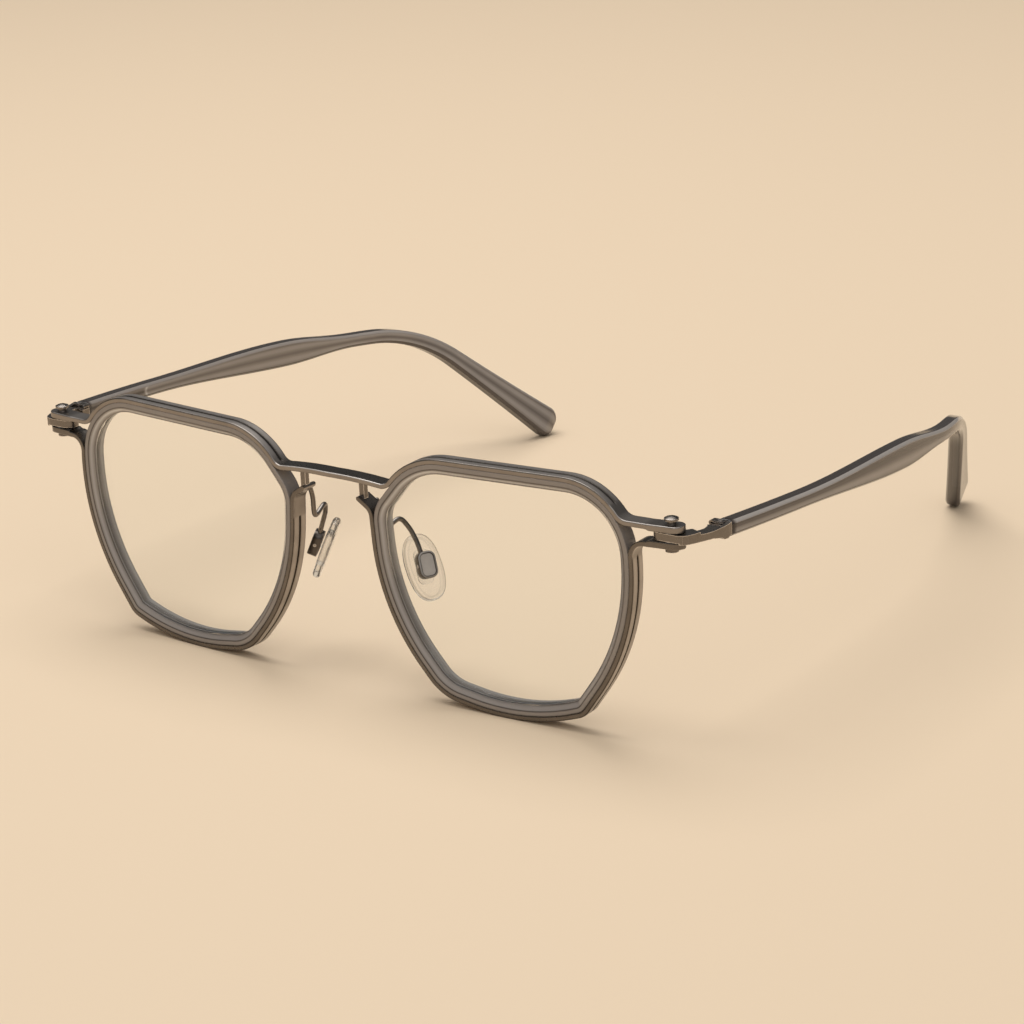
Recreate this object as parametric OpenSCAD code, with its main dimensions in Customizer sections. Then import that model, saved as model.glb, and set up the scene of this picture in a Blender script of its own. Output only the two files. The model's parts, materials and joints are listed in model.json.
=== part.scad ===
// Polygonal reading glasses: two acetate rims held in a flat metal strip, with acetate temples.
// Axes: X across the face, Y back along the temples, Z up. Millimetres.

/* [Rim outline] */
// Distance between the centres of the two lenses
lens_pitch = 71.2; // [64:0.1:78]
// Top corner by the nose: across, up, radius
corner_top_nose = [-18.0, 22.2, 13.8]; // [-40:0.1:40]
// Top corner by the temple
corner_top_side = [25.3, 23.0, 12.4]; // [-40:0.1:40]
// Side corner by the temple
corner_side = [26.3, -3.1, 39]; // [-40:0.1:40]
// Lower corner by the temple
corner_low_side = [15.6, -18.3, 3]; // [-40:0.1:40]
// Corner at the very bottom
corner_bottom = [4.0, -22.6, 42]; // [-40:0.1:42]
// Lower corner by the nose
corner_low_nose = [-13.2, -19.8, 9.4]; // [-40:0.1:40]
// Side corner by the nose
corner_nose = [-25.1, -6.0, 37]; // [-40:0.1:40]
// Corner beside the bridge
corner_bridge = [-26.3, 12.2, 6.7]; // [-40:0.1:40]

/* [Rims and lenses] */
// Depth of the rims and of the metal strip
rim_d = 3.3; // [3:0.1:4]
// Width of an acetate rim, from its outer face to its throat
rim_w = 2.0; // [1.8:0.05:2.6]
// Width of the slope inside the front edge
slope_w = 1.05; // [0.6:0.05:1.2]
// Depth of that slope
slope_d = 0.8; // [0.4:0.05:1]
// Depth of the groove that holds the lens
groove_d = 0.5; // [0.3:0.05:0.7]
// Width of that groove
groove_w = 0.9; // [0.6:0.05:1.2]
// Chamfer on the edges of a rim
rim_chamfer = 0.25; // [0.1:0.05:0.4]
// Thickness of a lens
lens_t = 1.8; // [1.6:0.1:2.2]
// Radius of the front curve of a lens
lens_curve = 260; // [220:5:400]
// Turn of each rim towards the temple, in degrees
wrap = 2.7; // [0:0.1:4]

/* [Metal strip] */
// Thickness of the strip
strip_t = 0.9; // [0.8:0.05:1.2]
// Height of the underside of the bridge over the lens centres
bridge_h = 16.2; // [15.5:0.05:17]
// Rise of the bridge at its middle
bridge_rise = 0.6; // [0:0.05:2]
// Bend between the bridge and a rim
bridge_bend = 3.0; // [2:0.1:4]
// Bend at the root of a lug
lug_bend = 3.1; // [2:0.1:4]
// Depth of the line engraved in the strip
line_d = 0.15; // [0.05:0.05:0.3]
// Width of that line
line_w = 0.45; // [0.2:0.05:0.8]
// Height at which the hook leaves the rim
hook_h = 10.7; // [10:0.1:11]
// Bend of the hook
hook_bend = 2.9; // [2.4:0.1:3.4]
// Angle that the hook turns through
hook_turn = 52; // [48:1:58]
// Straight length at the end of the hook
hook_len = 1.9; // [1.7:0.1:2.6]
// Distance of a bridge post's middle from the end of the hook
post_in = 0.3; // [0.1:0.05:0.8]
// Width of a bridge post
post_w = 1.1; // [0.8:0.05:1.4]
// Setback of a bridge post behind the front face
post_y = 0.6; // [0.3:0.05:1.2]

/* [Hinges] */
// Distance of a hinge screw outside the side corner of its rim
hinge_out = 6.6; // [5.6:0.1:8]
// Height of the middle of a hinge over the lens centres
hinge_h = 15.8; // [15:0.1:16.6]
// Distance of the screw behind the front edge of the lugs
hinge_y = 2.15; // [1.8:0.05:2.4]
// Length of a lug before the screw
lug_in = 3.8; // [3.4:0.1:4.2]
// Length of a lug past the screw
lug_over = 2.6; // [2.2:0.1:3.4]
// Thickness of a lug
lug_t = 1.15; // [1:0.05:1.3]
// Thickness of the tang between the lugs
tang_t = 1.35; // [1.2:0.05:1.6]
// Length of the tang on the inner side of the screw
tang_in = 3.3; // [2.6:0.1:3.6]
// Thickness of a hinge washer
washer_t = 0.15; // [0.1:0.01:0.2]
// Radius of a hinge washer
washer_r = 1.5; // [1.2:0.05:1.7]
// Radius of the screw's shank
screw_r = 0.7; // [0.5:0.05:0.8]
// Radius of the screw's head
screw_head_r = 1.25; // [1:0.05:1.4]
// Height of the screw's head
screw_head_h = 1.4; // [1:0.05:1.6]
// Height of the nut below the lower lug
nut_h = 0.75; // [0.5:0.05:1]
// Radius of that nut
nut_r = 1.15; // [1.05:0.05:1.3]
// Gap between faces that turn on each other
run_gap = 0.03; // [0.02:0.01:0.06]
// Radial clearance of a turning fit
run_fit = 0.05; // [0.03:0.01:0.08]

/* [Temples] */
// Length of the metal arm behind the screw
arm_len = 9.4; // [9:0.1:11]
// Outward set of the temple from the screw
temple_out = 4.3; // [3.8:0.1:5]
// Thickness of a temple
temple_t = 3.0; // [2.4:0.1:3.4]
// Height of the front end of a temple
front_h = 2.8; // [2.6:0.1:3.2]
// Height of the deepest part
blade_h = 5.2; // [4:0.1:6.5]
// Height of the neck before the ear bend
neck_h = 2.8; // [2.6:0.1:4]
// Height of the tip
tip_h = 6.8; // [5:0.1:8]
// Length from the front end to where the temple starts to deepen
swell_at = 22; // [15:1:30]
// Length from the front end to the deepest part
blade_at = 60; // [50:1:66]
// Length from the front end to the neck
neck_at = 80; // [76:1:84]
// Length from the front end to the ear bend
bend_at = 85; // [82:1:92]
// Radius of the ear bend
bend_r = 30.5; // [20:1:40]
// Angle of the ear bend
bend_angle = 38.5; // [30:0.5:50]
// Length of the straight end behind the bend
tip_len = 28.5; // [22:0.1:32]
// Downward slope of the temple
temple_slope = 3.2; // [0:0.1:6]
// Extra drop of the temple before the bend
temple_drop = 1.6; // [0:0.1:3]
// Outward turn of the temple's front, in degrees
bow_turn = 4.745; // [2:0.005:6]
// Radius of the temple's inward curve
hug_r = 349.7; // [280:0.1:500]
// Inward turn of the temple's end, in degrees
ear_turn = 21.3; // [16:0.1:24]
// Distance before the ear bend at which the temple turns inward
turn_before = 8; // [6:0.5:10]
// Length over which it turns inward
turn_len = 14; // [10:0.5:18]
// Bevel along the edges of a temple
temple_bevel = 0.5; // [0.2:0.05:0.8]
// Thickness of the metal core
core_t = 0.9; // [0.6:0.05:1.2]
// Height of the core's front leaf
leaf_h = 1.5; // [1:0.1:1.7]
// Length of the core's front leaf
leaf_len = 17; // [10:1:24]
// Height of the core behind the leaf
core_h = 0.9; // [0.6:0.05:1.2]
// Length of solid acetate behind the core
core_back = 9; // [5:0.5:14]
// Gap between the core and the acetate
core_gap = 0.05; // [0.02:0.01:0.1]
// Height of the core's tail in the metal arm
tail_h = 0.6; // [0.5:0.1:0.8]
// Gap between the metal arm and the acetate
arm_gap = 0.3; // [0.1:0.05:0.4]

/* [Temple clips] */
// Length of a clip across the temple
clip_len = 2.8; // [2.4:0.1:3]
// Width of a clip along the temple
clip_w = 1.4; // [1.2:0.1:1.8]
// Thickness of each leaf of a clip
clip_t = 0.3; // [0.25:0.05:0.35]
// Gap between the two leaves
clip_gap = 0.3; // [0.2:0.05:0.4]
// Radius of the rivet through a clip
rivet_r = 0.3; // [0.2:0.05:0.35]

/* [Nose pads] */
// Distance between the centres of the two pad boxes
box_pitch = 25.2; // [23:0.1:27]
// Distance of a pad box behind the front
box_y = 10.25; // [9:0.05:11]
// Height of a pad box against the lens centres
box_z = -0.8; // [-3:0.1:2]
// Turn of a pad away from straight back, in degrees
pad_splay = 61.5; // [54:0.5:66]
// Lean of a pad, in degrees
pad_lean = 23; // [18:0.5:26]
// Width of a pad box
box_w = 3.4; // [3.2:0.1:4.2]
// Height of a pad box
box_h = 4.9; // [4.6:0.1:6]
// Thickness of a pad box
box_t = 1.8; // [1.6:0.1:2.2]
// Wall of a pad box
box_wall = 0.4; // [0.3:0.05:0.5]
// Height of a pad
pad_h = 12.4; // [11:0.1:15]
// Width of a pad
pad_w = 7.0; // [6.8:0.2:9]
// Thickness of a pad
pad_t = 1.6; // [1.5:0.1:2.4]
// Gap between a pad and its box
pad_gap = 0.4; // [0.4:0.05:0.6]
// Drop of the pad below its box
pad_drop = 0.3; // [0:0.1:1.2]
// Setback of the pad behind its box
pad_back = 0.3; // [0:0.1:1.2]
// Turn of a pad in its own plane, in degrees
pad_turn = 7; // [0:1:10]
// Radius of the pin in a pad box
pin_r = 0.3; // [0.25:0.01:0.32]
// Radius of a pad arm's wire
wire_r = 0.45; // [0.35:0.05:0.5]

/* [Hidden] */

// Steps along each rounded corner, and the facets of round pieces
arc_steps = 7;
round_n = 32;
// A little extra for cuts that run past a face
eps = 0.5;

// Rounded outlines
function unit(v) = v / norm(v);
function at_angle(a) = [cos(a), sin(a)];
function arc(centre, r, a0, a1, n) = [for (k = [0 : n]) centre + r * at_angle(a0 + (a1 - a0) * k / n)];
function reverse(list) = [for (i = [len(list) - 1 : -1 : 0]) list[i]];
function xy(c) = [c[0] + lens_pitch / 2, c[1]];
corners = [corner_top_nose, corner_top_side, corner_side, corner_low_side, corner_bottom, corner_low_nose,
           corner_nose, corner_bridge];
corner_n = len(corners);
function corner(i) = xy(corners[(i + corner_n) % corner_n]);
function edge_dir(i) = unit(corner(i + 1) - corner(i));
function inward(d) = [d.y, -d.x];
// Centre, radius and the two end angles of the arc at corner i, going clockwise
function corner_centre(i) =
    let (d1 = edge_dir(i - 1), d2 = edge_dir(i), half = acos(d1 * d2) / 2)
    corner(i) + unit(inward(d1) + inward(d2)) * corners[i][2] / cos(half);
function start_angle(i) = let (n = inward(edge_dir(i - 1))) atan2(-n.y, -n.x);
function end_angle(i) = let (n = inward(edge_dir(i)), a = atan2(-n.y, -n.x)) a > start_angle(i) ? a - 360 : a;
function corner_arc(i, off) =
    arc(corner_centre(i), corners[i][2] + off, start_angle(i), end_angle(i), arc_steps);
function outline(off) = [for (i = [0 : corner_n - 1]) each corner_arc(i, off)];

// Heights of the hinge layers over the lens centres
lug_gap = tang_t / 2 + run_gap + washer_t;
upper_lug_z = hinge_h + lug_gap + lug_t - strip_t;
lower_lug_z = hinge_h - lug_gap - lug_t + strip_t;
screw_x = corner(2).x + hinge_out;
lug_end = screw_x + lug_over;
lug_from = screw_x - lug_in;

// The upper strip runs from the bridge over the brow to the upper lug
nose_edge = edge_dir(corner_n - 1);
nose_out = -inward(nose_edge);
bridge_corner = corner(corner_n - 1) + nose_edge * (bridge_h - corner(corner_n - 1).y) / nose_edge.y;
bend_half = acos(nose_edge.x) / 2;
bridge_centre = bridge_corner + [-bridge_bend * tan(bend_half), bridge_bend];
side_centre = corner_centre(1);
side_r = corner_top_side[2];
upper_leave = asin((upper_lug_z + lug_bend - side_centre.y) / (side_r + lug_bend));
lower_leave = asin((lower_lug_z - lug_bend - side_centre.y) / (side_r + lug_bend));
upper_turn = side_centre + (side_r + lug_bend) * at_angle(upper_leave);
lower_turn = side_centre + (side_r + lug_bend) * at_angle(lower_leave);
// Each half turns about the upright line where the bridge meets the rim
wrap_x = bridge_centre.x;
bridge_flat = 0.8;
function bridge_under(x) = bridge_h + bridge_rise * (1 - pow((x - bridge_flat) / (wrap_x - bridge_flat), 2));
function bridge_line(off) = concat(
    [[-eps, bridge_under(bridge_flat) + off]],
    [for (k = [0 : 6]) let (x = bridge_flat + (wrap_x - bridge_flat) * k / 7) [x, bridge_under(x) + off]]);
function brow_line(off) = concat(
    corner_arc(0, off),
    arc(side_centre, side_r + off, start_angle(1), upper_leave, arc_steps));
// A lug is thicker on its inner side than the strip
function lug_line(z, off, inner) =
    off > 0 ? [[lug_end, z - inner * off]] :
    [[lug_from, z], [lug_from + 0.8, z + inner * (lug_t - strip_t)], [lug_end, z + inner * (lug_t - strip_t)]];
function upper_line(off) = concat(
    bridge_line(off),
    arc(bridge_centre, bridge_bend - off, -90, -90 + 2 * bend_half, arc_steps),
    brow_line(off),
    arc(upper_turn, lug_bend - off, 180 + upper_leave, 270, arc_steps),
    lug_line(upper_lug_z, off, -1));

// The lower strip runs from the lower lug round the rim to the hook
nose_side = edge_dir(corner_n - 2);
hook_root = corner(corner_n - 1) - nose_side * (corner(corner_n - 1).y - hook_h) / nose_side.y;
hook_centre = hook_root - inward(nose_side) * hook_bend;
hook_a = atan2(inward(nose_side).y, inward(nose_side).x);
function hook_end_dir() = at_angle(hook_a + hook_turn + 90);
function hook_tip(off) = hook_centre + (hook_bend - off) * at_angle(hook_a + hook_turn) + hook_len * hook_end_dir();
hook_mid = (hook_tip(0) + hook_tip(strip_t)) / 2;
function hook_round() = [for (k = [1 : 7]) hook_mid + strip_t / 2 * at_angle(hook_a + hook_turn + 180 - 22.5 * k)];
function side_line(off) = concat(
    [for (i = [2 : corner_n - 2]) each corner_arc(i, off)]);
function lower_line(off) = concat(
    reverse(lug_line(lower_lug_z, off, 1)),
    arc(lower_turn, lug_bend - off, 90, 180 + lower_leave, arc_steps),
    side_line(off),
    arc(hook_centre, hook_bend - off, hook_a, hook_a + hook_turn, arc_steps),
    [hook_tip(off)]);

// Engraved lines stop short of the bridge, the lugs and the hook
function upper_engraving(off) = concat(
    arc(corner_centre(0), corners[0][2] + off, start_angle(0) - 8, end_angle(0), arc_steps),
    arc(side_centre, side_r + off, start_angle(1), upper_leave + 8, arc_steps));
function lower_engraving(off) = concat(
    arc(corner_centre(2), corners[2][2] + off, start_angle(2) - 2, end_angle(2), arc_steps),
    [for (i = [3 : corner_n - 2]) each corner_arc(i, off)],
    [corner(corner_n - 1) - inward(nose_side) * off - nose_side * (corner(corner_n - 1).y - hook_h + 3)]);

// Temple centre line, by length from its front end
screw_y = (screw_x - wrap_x) * sin(wrap) + hinge_y;
front_x = screw_x + temple_out;
front_y = screw_y + arm_len + arm_gap;
arm_drop = (arm_len + arm_gap) * tan(temple_slope) / 4;
arm_top = hinge_h + tang_t / 2 - arm_drop;
front_z = arm_top - front_h / 2;
platform_z = arm_top + 0.1 - 2 * clip_t - clip_gap;
start_tan = tan(temple_slope);
bend_from = atan(start_tan + 2 * temple_drop / bend_at);
bend_len = bend_r * bend_angle * PI / 180;
temple_len = bend_at + bend_len + tip_len;
straight_from = bend_at + bend_len;
function heading(s) =
    s < bend_at ? -atan(start_tan + 2 * temple_drop * s / (bend_at * bend_at)) :
    -bend_from - bend_angle * min(1, (s - bend_at) / bend_len);
// Across the face the temple bows outward, then curves in, then runs straight to its tip
turn_from = bend_at - turn_before;
slope_before = tan(bow_turn) - turn_from / hug_r;
slope_after = -tan(ear_turn);
function bow(s) = tan(bow_turn) * s - s * s / (2 * hug_r);
function side_step(s) =
    let (d = min(turn_len, max(0, s - turn_from)), more = max(0, s - turn_from - turn_len))
    bow(min(s, turn_from)) + slope_before * d + (slope_after - slope_before) * d * d / (2 * turn_len)
    + slope_after * more;
function side_slope(s) =
    s < turn_from ? tan(bow_turn) - s / hug_r :
    slope_before + (slope_after - slope_before) * min(1, (s - turn_from) / turn_len);
function straight_path(s) = [s, -s * start_tan - temple_drop * pow(s / bend_at, 2)];
bend_centre = straight_path(bend_at) + bend_r * at_angle(-bend_from - 90);
function side_path(s) =
    s < bend_at ? straight_path(s) :
    bend_centre + bend_r * at_angle(heading(s) + 90) + max(0, s - straight_from) * at_angle(heading(s));
function temple_at(s) =
    let (p = side_path(s)) [front_x + side_step(s), front_y + p.x, front_z + p.y];
function ease(t) = (1 - cos(180 * min(1, max(0, t)))) / 2;
function blend(a, b, s, s0, s1) = a + (b - a) * ease((s - s0) / (s1 - s0));
function temple_h(s) =
    s < blade_at ? blend(front_h, blade_h, s, swell_at, blade_at) :
    s < neck_at ? blend(blade_h, neck_h, s, blade_at, neck_at) :
    neck_h + (tip_h - neck_h) * pow(max(0, s - neck_at - 4) / (temple_len - neck_at - 4), 1.9);
// The tip closes in a round of its own length
tip_round = tip_h * 0.4;
function tip_close(s) =
    let (d = (s - (temple_len - tip_round)) / tip_round) d <= 0 ? 1 : sqrt(max(0.02, 1 - d * d));
function up_at(s) = [0, -sin(heading(s)), cos(heading(s))];
function along_at(s) = unit([side_slope(s), cos(heading(s)), sin(heading(s))]);
function out_at(s) = unit(cross(along_at(s), up_at(s)));
function ring(s, w, h, c) =
    let (p = temple_at(s), o = out_at(s), u = up_at(s), a = w / 2, b = h / 2)
    [for (q = [[a - c, b], [a, b - c], [a, c - b], [a - c, -b], [c - a, -b], [-a, c - b], [-a, b - c], [c - a, b]])
        p + o * q.x + u * q.y];
function bar(s, w, h) =
    let (p = temple_at(s), o = out_at(s), u = up_at(s))
    [for (q = [[w, h], [w, -h], [-w, -h], [-w, h]] / 2) p + o * q.x + u * q.y];
tip_steps = [for (k = [1 : 5]) temple_len - tip_round * (1 - sin(18 * k))];
temple_steps = concat([for (k = [0 : 29]) (temple_len - tip_round) * k / 29], tip_steps);
core_end = temple_len - core_back;
leaf_end = leaf_len + 2;
core_in = 1.2;
core_steps = concat([-arm_gap - core_in, -arm_gap / 2, 0, leaf_len / 2, leaf_len, leaf_end],
                    [for (k = [1 : 16]) leaf_end + (core_end - leaf_end) * k / 16]);
function core_height(s) = s < -arm_gap / 3 ? tail_h : s <= leaf_len ? leaf_h : core_h;

// A solid through a list of rings with as many points each
module skin(rings) {
    n = len(rings[0]);
    m = len(rings);
    sides = [for (i = [0 : m - 2]) for (j = [0 : n - 1])
        let (a = i * n + j, b = i * n + (j + 1) % n) each [[a, a + n, b], [b, a + n, b + n]]];
    caps = [[for (j = [0 : n - 1]) j], [for (j = [n - 1 : -1 : 0]) (m - 1) * n + j]];
    polyhedron([for (r = rings) each r], concat(sides, caps));
}

// A solid ring round the rim whose section is a closed list of [offset, depth]
module rim_ring(section) {
    m = len(section);
    rings = [for (q = section) [for (p = outline(q[0])) [p.x, q[1], p.y]]];
    n = len(rings[0]);
    polyhedron([for (r = rings) each r],
        [for (i = [0 : m - 1]) for (j = [0 : n - 1])
            let (k = (i + 1) % m, l = (j + 1) % n) [i * n + j, i * n + l, k * n + l, k * n + j]]);
}

// Placement. The glasses rest on the rims and the temple tips.
function rim_low(list) = min([for (p = list) p.y]);
rest_rim_z = rim_low(outline(strip_t));
rest_rim_y = (corner_bottom[0] + lens_pitch / 2 - wrap_x) * sin(wrap) + rim_d / 2;
tip_points = [for (s = temple_steps) each ring(s, temple_t * tip_close(s), temple_h(s) * tip_close(s),
                                               temple_bevel * tip_close(s))];
lean = max([for (p = tip_points) if (p.y > front_y + bend_at) atan2(rest_rim_z - p.z, p.y - rest_rim_y)]);
lift = -(rest_rim_z * cos(lean) + rest_rim_y * sin(lean)) + 0;
back_y = max([for (p = tip_points) p.y * cos(lean) - p.z * sin(lean)]);
front_edge_y = -wrap_x * sin(wrap) * cos(lean) - bridge_under(bridge_flat) * sin(lean);
module placed() {
    translate([0, -(back_y + front_edge_y) / 2, lift]) rotate([lean, 0, 0]) children();
}
module sided(side) {
    placed() mirror([side < 0 ? 1 : 0, 0, 0]) children();
}
module wrapped() {
    translate([wrap_x, 0, 0]) rotate([0, 0, wrap]) translate([-wrap_x, 0, 0]) children();
}
// Extrudes a flat shape, drawn across and up, from depth y0 back by d
module upright(y0, d) {
    translate([0, y0 + d, 0]) rotate([90, 0, 0]) linear_extrude(d) children();
}
module strip_shape(outer, inner) {
    polygon(concat(outer, reverse(inner)));
}

module rim(side) {
    mid = rim_d / 2;
    c = rim_chamfer;
    section = [[0, 0], [0, rim_d], [-rim_w + c, rim_d], [-rim_w, rim_d - c], [-rim_w, mid + groove_w / 2],
               [-rim_w + groove_d, mid], [-rim_w, mid - groove_w / 2], [-rim_w, slope_d],
               [-rim_w + slope_w, 0]];
    color([0.5, 0.45, 0.4]) sided(side) wrapped() rim_ring(section);
}

module lens(side) {
    mid = rim_d / 2;
    edge_y = mid - lens_t / 2;
    centre = [lens_pitch / 2, 0];
    reach = (corner_top_side[0] - corner_bridge[0]) / 2 - rim_w;
    sag = lens_curve - sqrt(lens_curve * lens_curve - reach * reach);
    color([0.9, 0.93, 0.95, 0.4]) sided(side) wrapped() {
        intersection() {
            upright(-2, rim_d + 4) polygon(outline(-rim_w - core_gap));
            translate([centre.x, edge_y - sag + lens_curve, 0]) difference() {
                sphere(lens_curve, $fn = 160);
                translate([0, lens_t, 0]) sphere(lens_curve, $fn = 160);
            }
        }
        difference() {
            upright(mid - groove_w / 6, groove_w / 3) polygon(outline(groove_d / 2 - rim_w));
            upright(mid - groove_w, 2 * groove_w) polygon(outline(-rim_w - 1));
        }
    }
}

module line_cut(line) {
    upright(rim_d / 2 - line_w / 2, line_w) strip_shape(line[0], line[1]);
}

module hinge_axis_at() {
    translate([screw_x, screw_y, hinge_h]) children();
}
module screw_hole(r) {
    hinge_axis_at() cylinder(h = 4 * tang_t + 4 * strip_t, r = r, $fn = round_n, center = true);
}

// The strip seen from above, with its rounded lug
lug_r = 1.75;
module strip_plan() {
    polygon(concat([[lug_from, 0]], arc([lug_end - lug_r, hinge_y], lug_r, -90, 90, 12),
                   [[lug_from, rim_d], [-1, rim_d], [-1, 0]]));
}
module strip(outer, inner) {
    wrapped() intersection() {
        upright(-1, rim_d + 3) strip_shape(outer, inner);
        translate([0, 0, -lens_pitch / 2]) linear_extrude(lens_pitch) strip_plan();
    }
}
module brow_bar() {
    color([0.4, 0.35, 0.3]) placed() difference() {
        for (m = [0, 1]) mirror([m, 0, 0]) strip(upper_line(strip_t), upper_line(0));
        for (m = [0, 1]) mirror([m, 0, 0]) {
            wrapped() line_cut([upper_engraving(strip_t + 1), upper_engraving(strip_t - line_d)]);
            screw_hole(screw_r + run_fit / 2);
        }
    }
}

module lower_band(side) {
    color([0.4, 0.35, 0.3]) sided(side) difference() {
        strip(concat(lower_line(strip_t), hook_round()), lower_line(0));
        wrapped() line_cut([lower_engraving(strip_t + 1), lower_engraving(strip_t - line_d)]);
        screw_hole(screw_r + run_fit / 2);
    }
}

module bridge_post(side) {
    x0 = hook_mid.x + post_in - post_w / 2;
    color([0.38, 0.33, 0.28]) sided(side) difference() {
        translate([x0, post_y, hook_h]) cube([post_w, post_w, bridge_h + bridge_rise + strip_t / 2 - hook_h]);
        wrapped() upright(-eps, rim_d + 2 * eps) strip_shape(bridge_line(strip_t), bridge_line(0));
        wrapped() upright(-eps, rim_d + 2 * eps)
            strip_shape(concat(lower_line(strip_t), hook_round()), lower_line(0));
        wrapped() upright(-eps, rim_d + 2 * eps) polygon(concat(
            [for (p = reverse(lower_line(strip_t))) if (p.x < lens_pitch / 4 && p.y > 0) p],
            [[lens_pitch / 4, 0], [0, 0]]));
    }
}

// Placement of a pad box: X across the box, Y towards the nose, Z up
module at_box() {
    translate([box_pitch / 2, box_y, box_z]) rotate([0, 0, pad_splay]) rotate([-pad_lean, 0, 0]) children();
}
function turn_z(p, a) = [p.x * cos(a) - p.y * sin(a), p.x * sin(a) + p.y * cos(a), p.z];
function turn_x(p, a) = [p.x, p.y * cos(a) - p.z * sin(a), p.y * sin(a) + p.z * cos(a)];
function box_point(p) = [box_pitch / 2, box_y, box_z] + turn_z(turn_x(p, -pad_lean), pad_splay);

// Smooth path through points, for the pad arm
function spline(p0, p1, p2, p3, t) =
    (2 * p1 + (p2 - p0) * t + (2 * p0 - 5 * p1 + 4 * p2 - p3) * t * t + (3 * p1 - p0 - 3 * p2 + p3) * t * t * t) / 2;
arm_root = [hook_root.x - strip_t - 0.9, rim_d + wire_r - 0.28, hook_h + 1.9];
arm_foot = box_point([-0.6, 0, box_h / 2]);
arm_route = [arm_root + [0, -1, 1], arm_root, arm_root + [0.2, 0.9, -2.2], arm_root + [0.25, 1.33, -5.68],
             arm_root + [0.9, 4.73, -4.8], arm_foot + [-2.05, -0.56, 4.64], arm_foot + [-0.9, -0.05, 2.24],
             arm_foot, arm_foot + [0.7, 0, -2]];
arm_path = concat([for (i = [1 : len(arm_route) - 3]) for (k = [0 : 3])
    spline(arm_route[i - 1], arm_route[i], arm_route[i + 1], arm_route[i + 2], k / 4)], [arm_foot + [0.25, 0, -0.7]]);
function path_dir(path, i) = unit(path[min(i + 1, len(path) - 1)] - path[max(i - 1, 0)]);
function tube_ring(p, d, r) =
    let (a = unit(cross(d, [1, 0.2, 0])), b = cross(d, a)) [for (k = [0 : 9]) p + r * (a * sin(36 * k) + b * cos(36 * k))];

// The wire is soldered flat on the back of the hook and on the top of its box
module pad_arm(side) {
    color([0.4, 0.36, 0.3]) sided(side) difference() {
        skin([for (i = [0 : len(arm_path) - 1]) tube_ring(arm_path[i], path_dir(arm_path, i), wire_r)]);
        wrapped() translate([-hook_root.x, -rim_d, 0]) cube([3 * hook_root.x, 2 * rim_d, 2 * hook_h]);
        at_box() translate([-box_w, -box_w, -box_h / 2]) cube([2 * box_w, 2 * box_w, box_h]);
    }
}

module rounded_plate(w, h, t, r) {
    rotate([-90, 0, 0]) linear_extrude(t) {
        square([w - 2 * r, h], center = true);
        square([w, h - 2 * r], center = true);
        for (x = [-1, 1]) for (z = [-1, 1]) translate([x * (w / 2 - r), z * (h / 2 - r)]) circle(r = r, $fn = 24);
    }
}

// The box's outer face is set in a little, and the box is open towards the pad
face_in = 0.12;
face_t = 0.2;
module pad_box(side) {
    inner = box_wall;
    color([0.35, 0.3, 0.26]) sided(side) at_box() difference() {
        translate([0, -box_t / 2, 0]) rounded_plate(box_w, box_h, box_t, 1.1);
        translate([0, face_in + face_t - box_t / 2, 0])
            rounded_plate(box_w - 2 * inner, box_h - 2 * inner, box_t, 0.8);
        translate([0, -box_t / 2 - eps, 0]) rounded_plate(box_w - 2 * inner, box_h - 2 * inner, eps + face_in, 0.8);
        rotate([0, 90, 0]) cylinder(h = box_w + 2, r = pin_r + run_fit / 5, $fn = round_n, center = true);
    }
}

module pad_pin(side) {
    color([0.55, 0.5, 0.42]) sided(side) at_box()
        rotate([0, 90, 0]) cylinder(h = box_w + 0.1, r = pin_r, $fn = round_n, center = true);
}

pad_y = box_t / 2 + pad_gap;
plate_t = 0.4;
plate_w = 3;
plate_h = 6.4;
plate_y = pad_y + pad_t / 2 - plate_t / 2;
module plate_form(grow) {
    translate([pad_back / 2, plate_y - grow, -pad_drop / 2])
        rounded_plate(plate_w + 2 * grow, plate_h + 2 * grow, plate_t + 2 * grow, 1.2);
    translate([0, plate_y + plate_t / 2, 0]) rotate([90, 0, 0])
        cylinder(h = plate_y + plate_t / 2, r = 0.5 + grow, $fn = round_n);
}

module pad_plate(side) {
    eye_r = pin_r + run_fit + 0.15;
    color([0.5, 0.46, 0.4]) sided(side) at_box() difference() {
        union() {
            plate_form(0);
            rotate([0, 90, 0]) cylinder(h = box_w - 2 * box_wall - 0.8, r = eye_r, $fn = round_n, center = true);
        }
        rotate([0, 90, 0]) cylinder(h = box_w, r = pin_r + run_fit, $fn = round_n, center = true);
    }
}

// Outline of a pad: an oval a little squarer than an ellipse
pad_power = 2 / 2.4;
function oval(w, h) = [for (k = [0 : 35]) let (c = cos(10 * k), d = sin(10 * k))
    [w / 2 * sign(c) * pow(abs(c), pad_power), h / 2 * sign(d) * pow(abs(d), pad_power)]];
module nose_pad(side) {
    edge = pad_t / 3;
    inset = 0.7;
    color([0.92, 0.92, 0.9, 0.5]) sided(side) at_box() difference() {
        translate([pad_back, pad_y, -pad_drop]) rotate([0, -pad_turn, 0]) hull() {
            upright(0, pad_t) polygon(oval(pad_w - 2 * inset, pad_h - 2 * inset));
            upright(edge, edge) polygon(oval(pad_w, pad_h));
        }
        plate_form(core_gap);
    }
}

module hinge_washers(side) {
    color([0.6, 0.55, 0.45]) sided(side) hinge_axis_at()
        for (z = [tang_t / 2 + run_gap, -tang_t / 2 - run_gap - washer_t]) translate([0, 0, z]) difference() {
            cylinder(h = washer_t, r = washer_r, $fn = round_n);
            translate([0, 0, -eps]) cylinder(h = washer_t + 2 * eps, r = screw_r + run_fit, $fn = round_n);
        }
}

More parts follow.
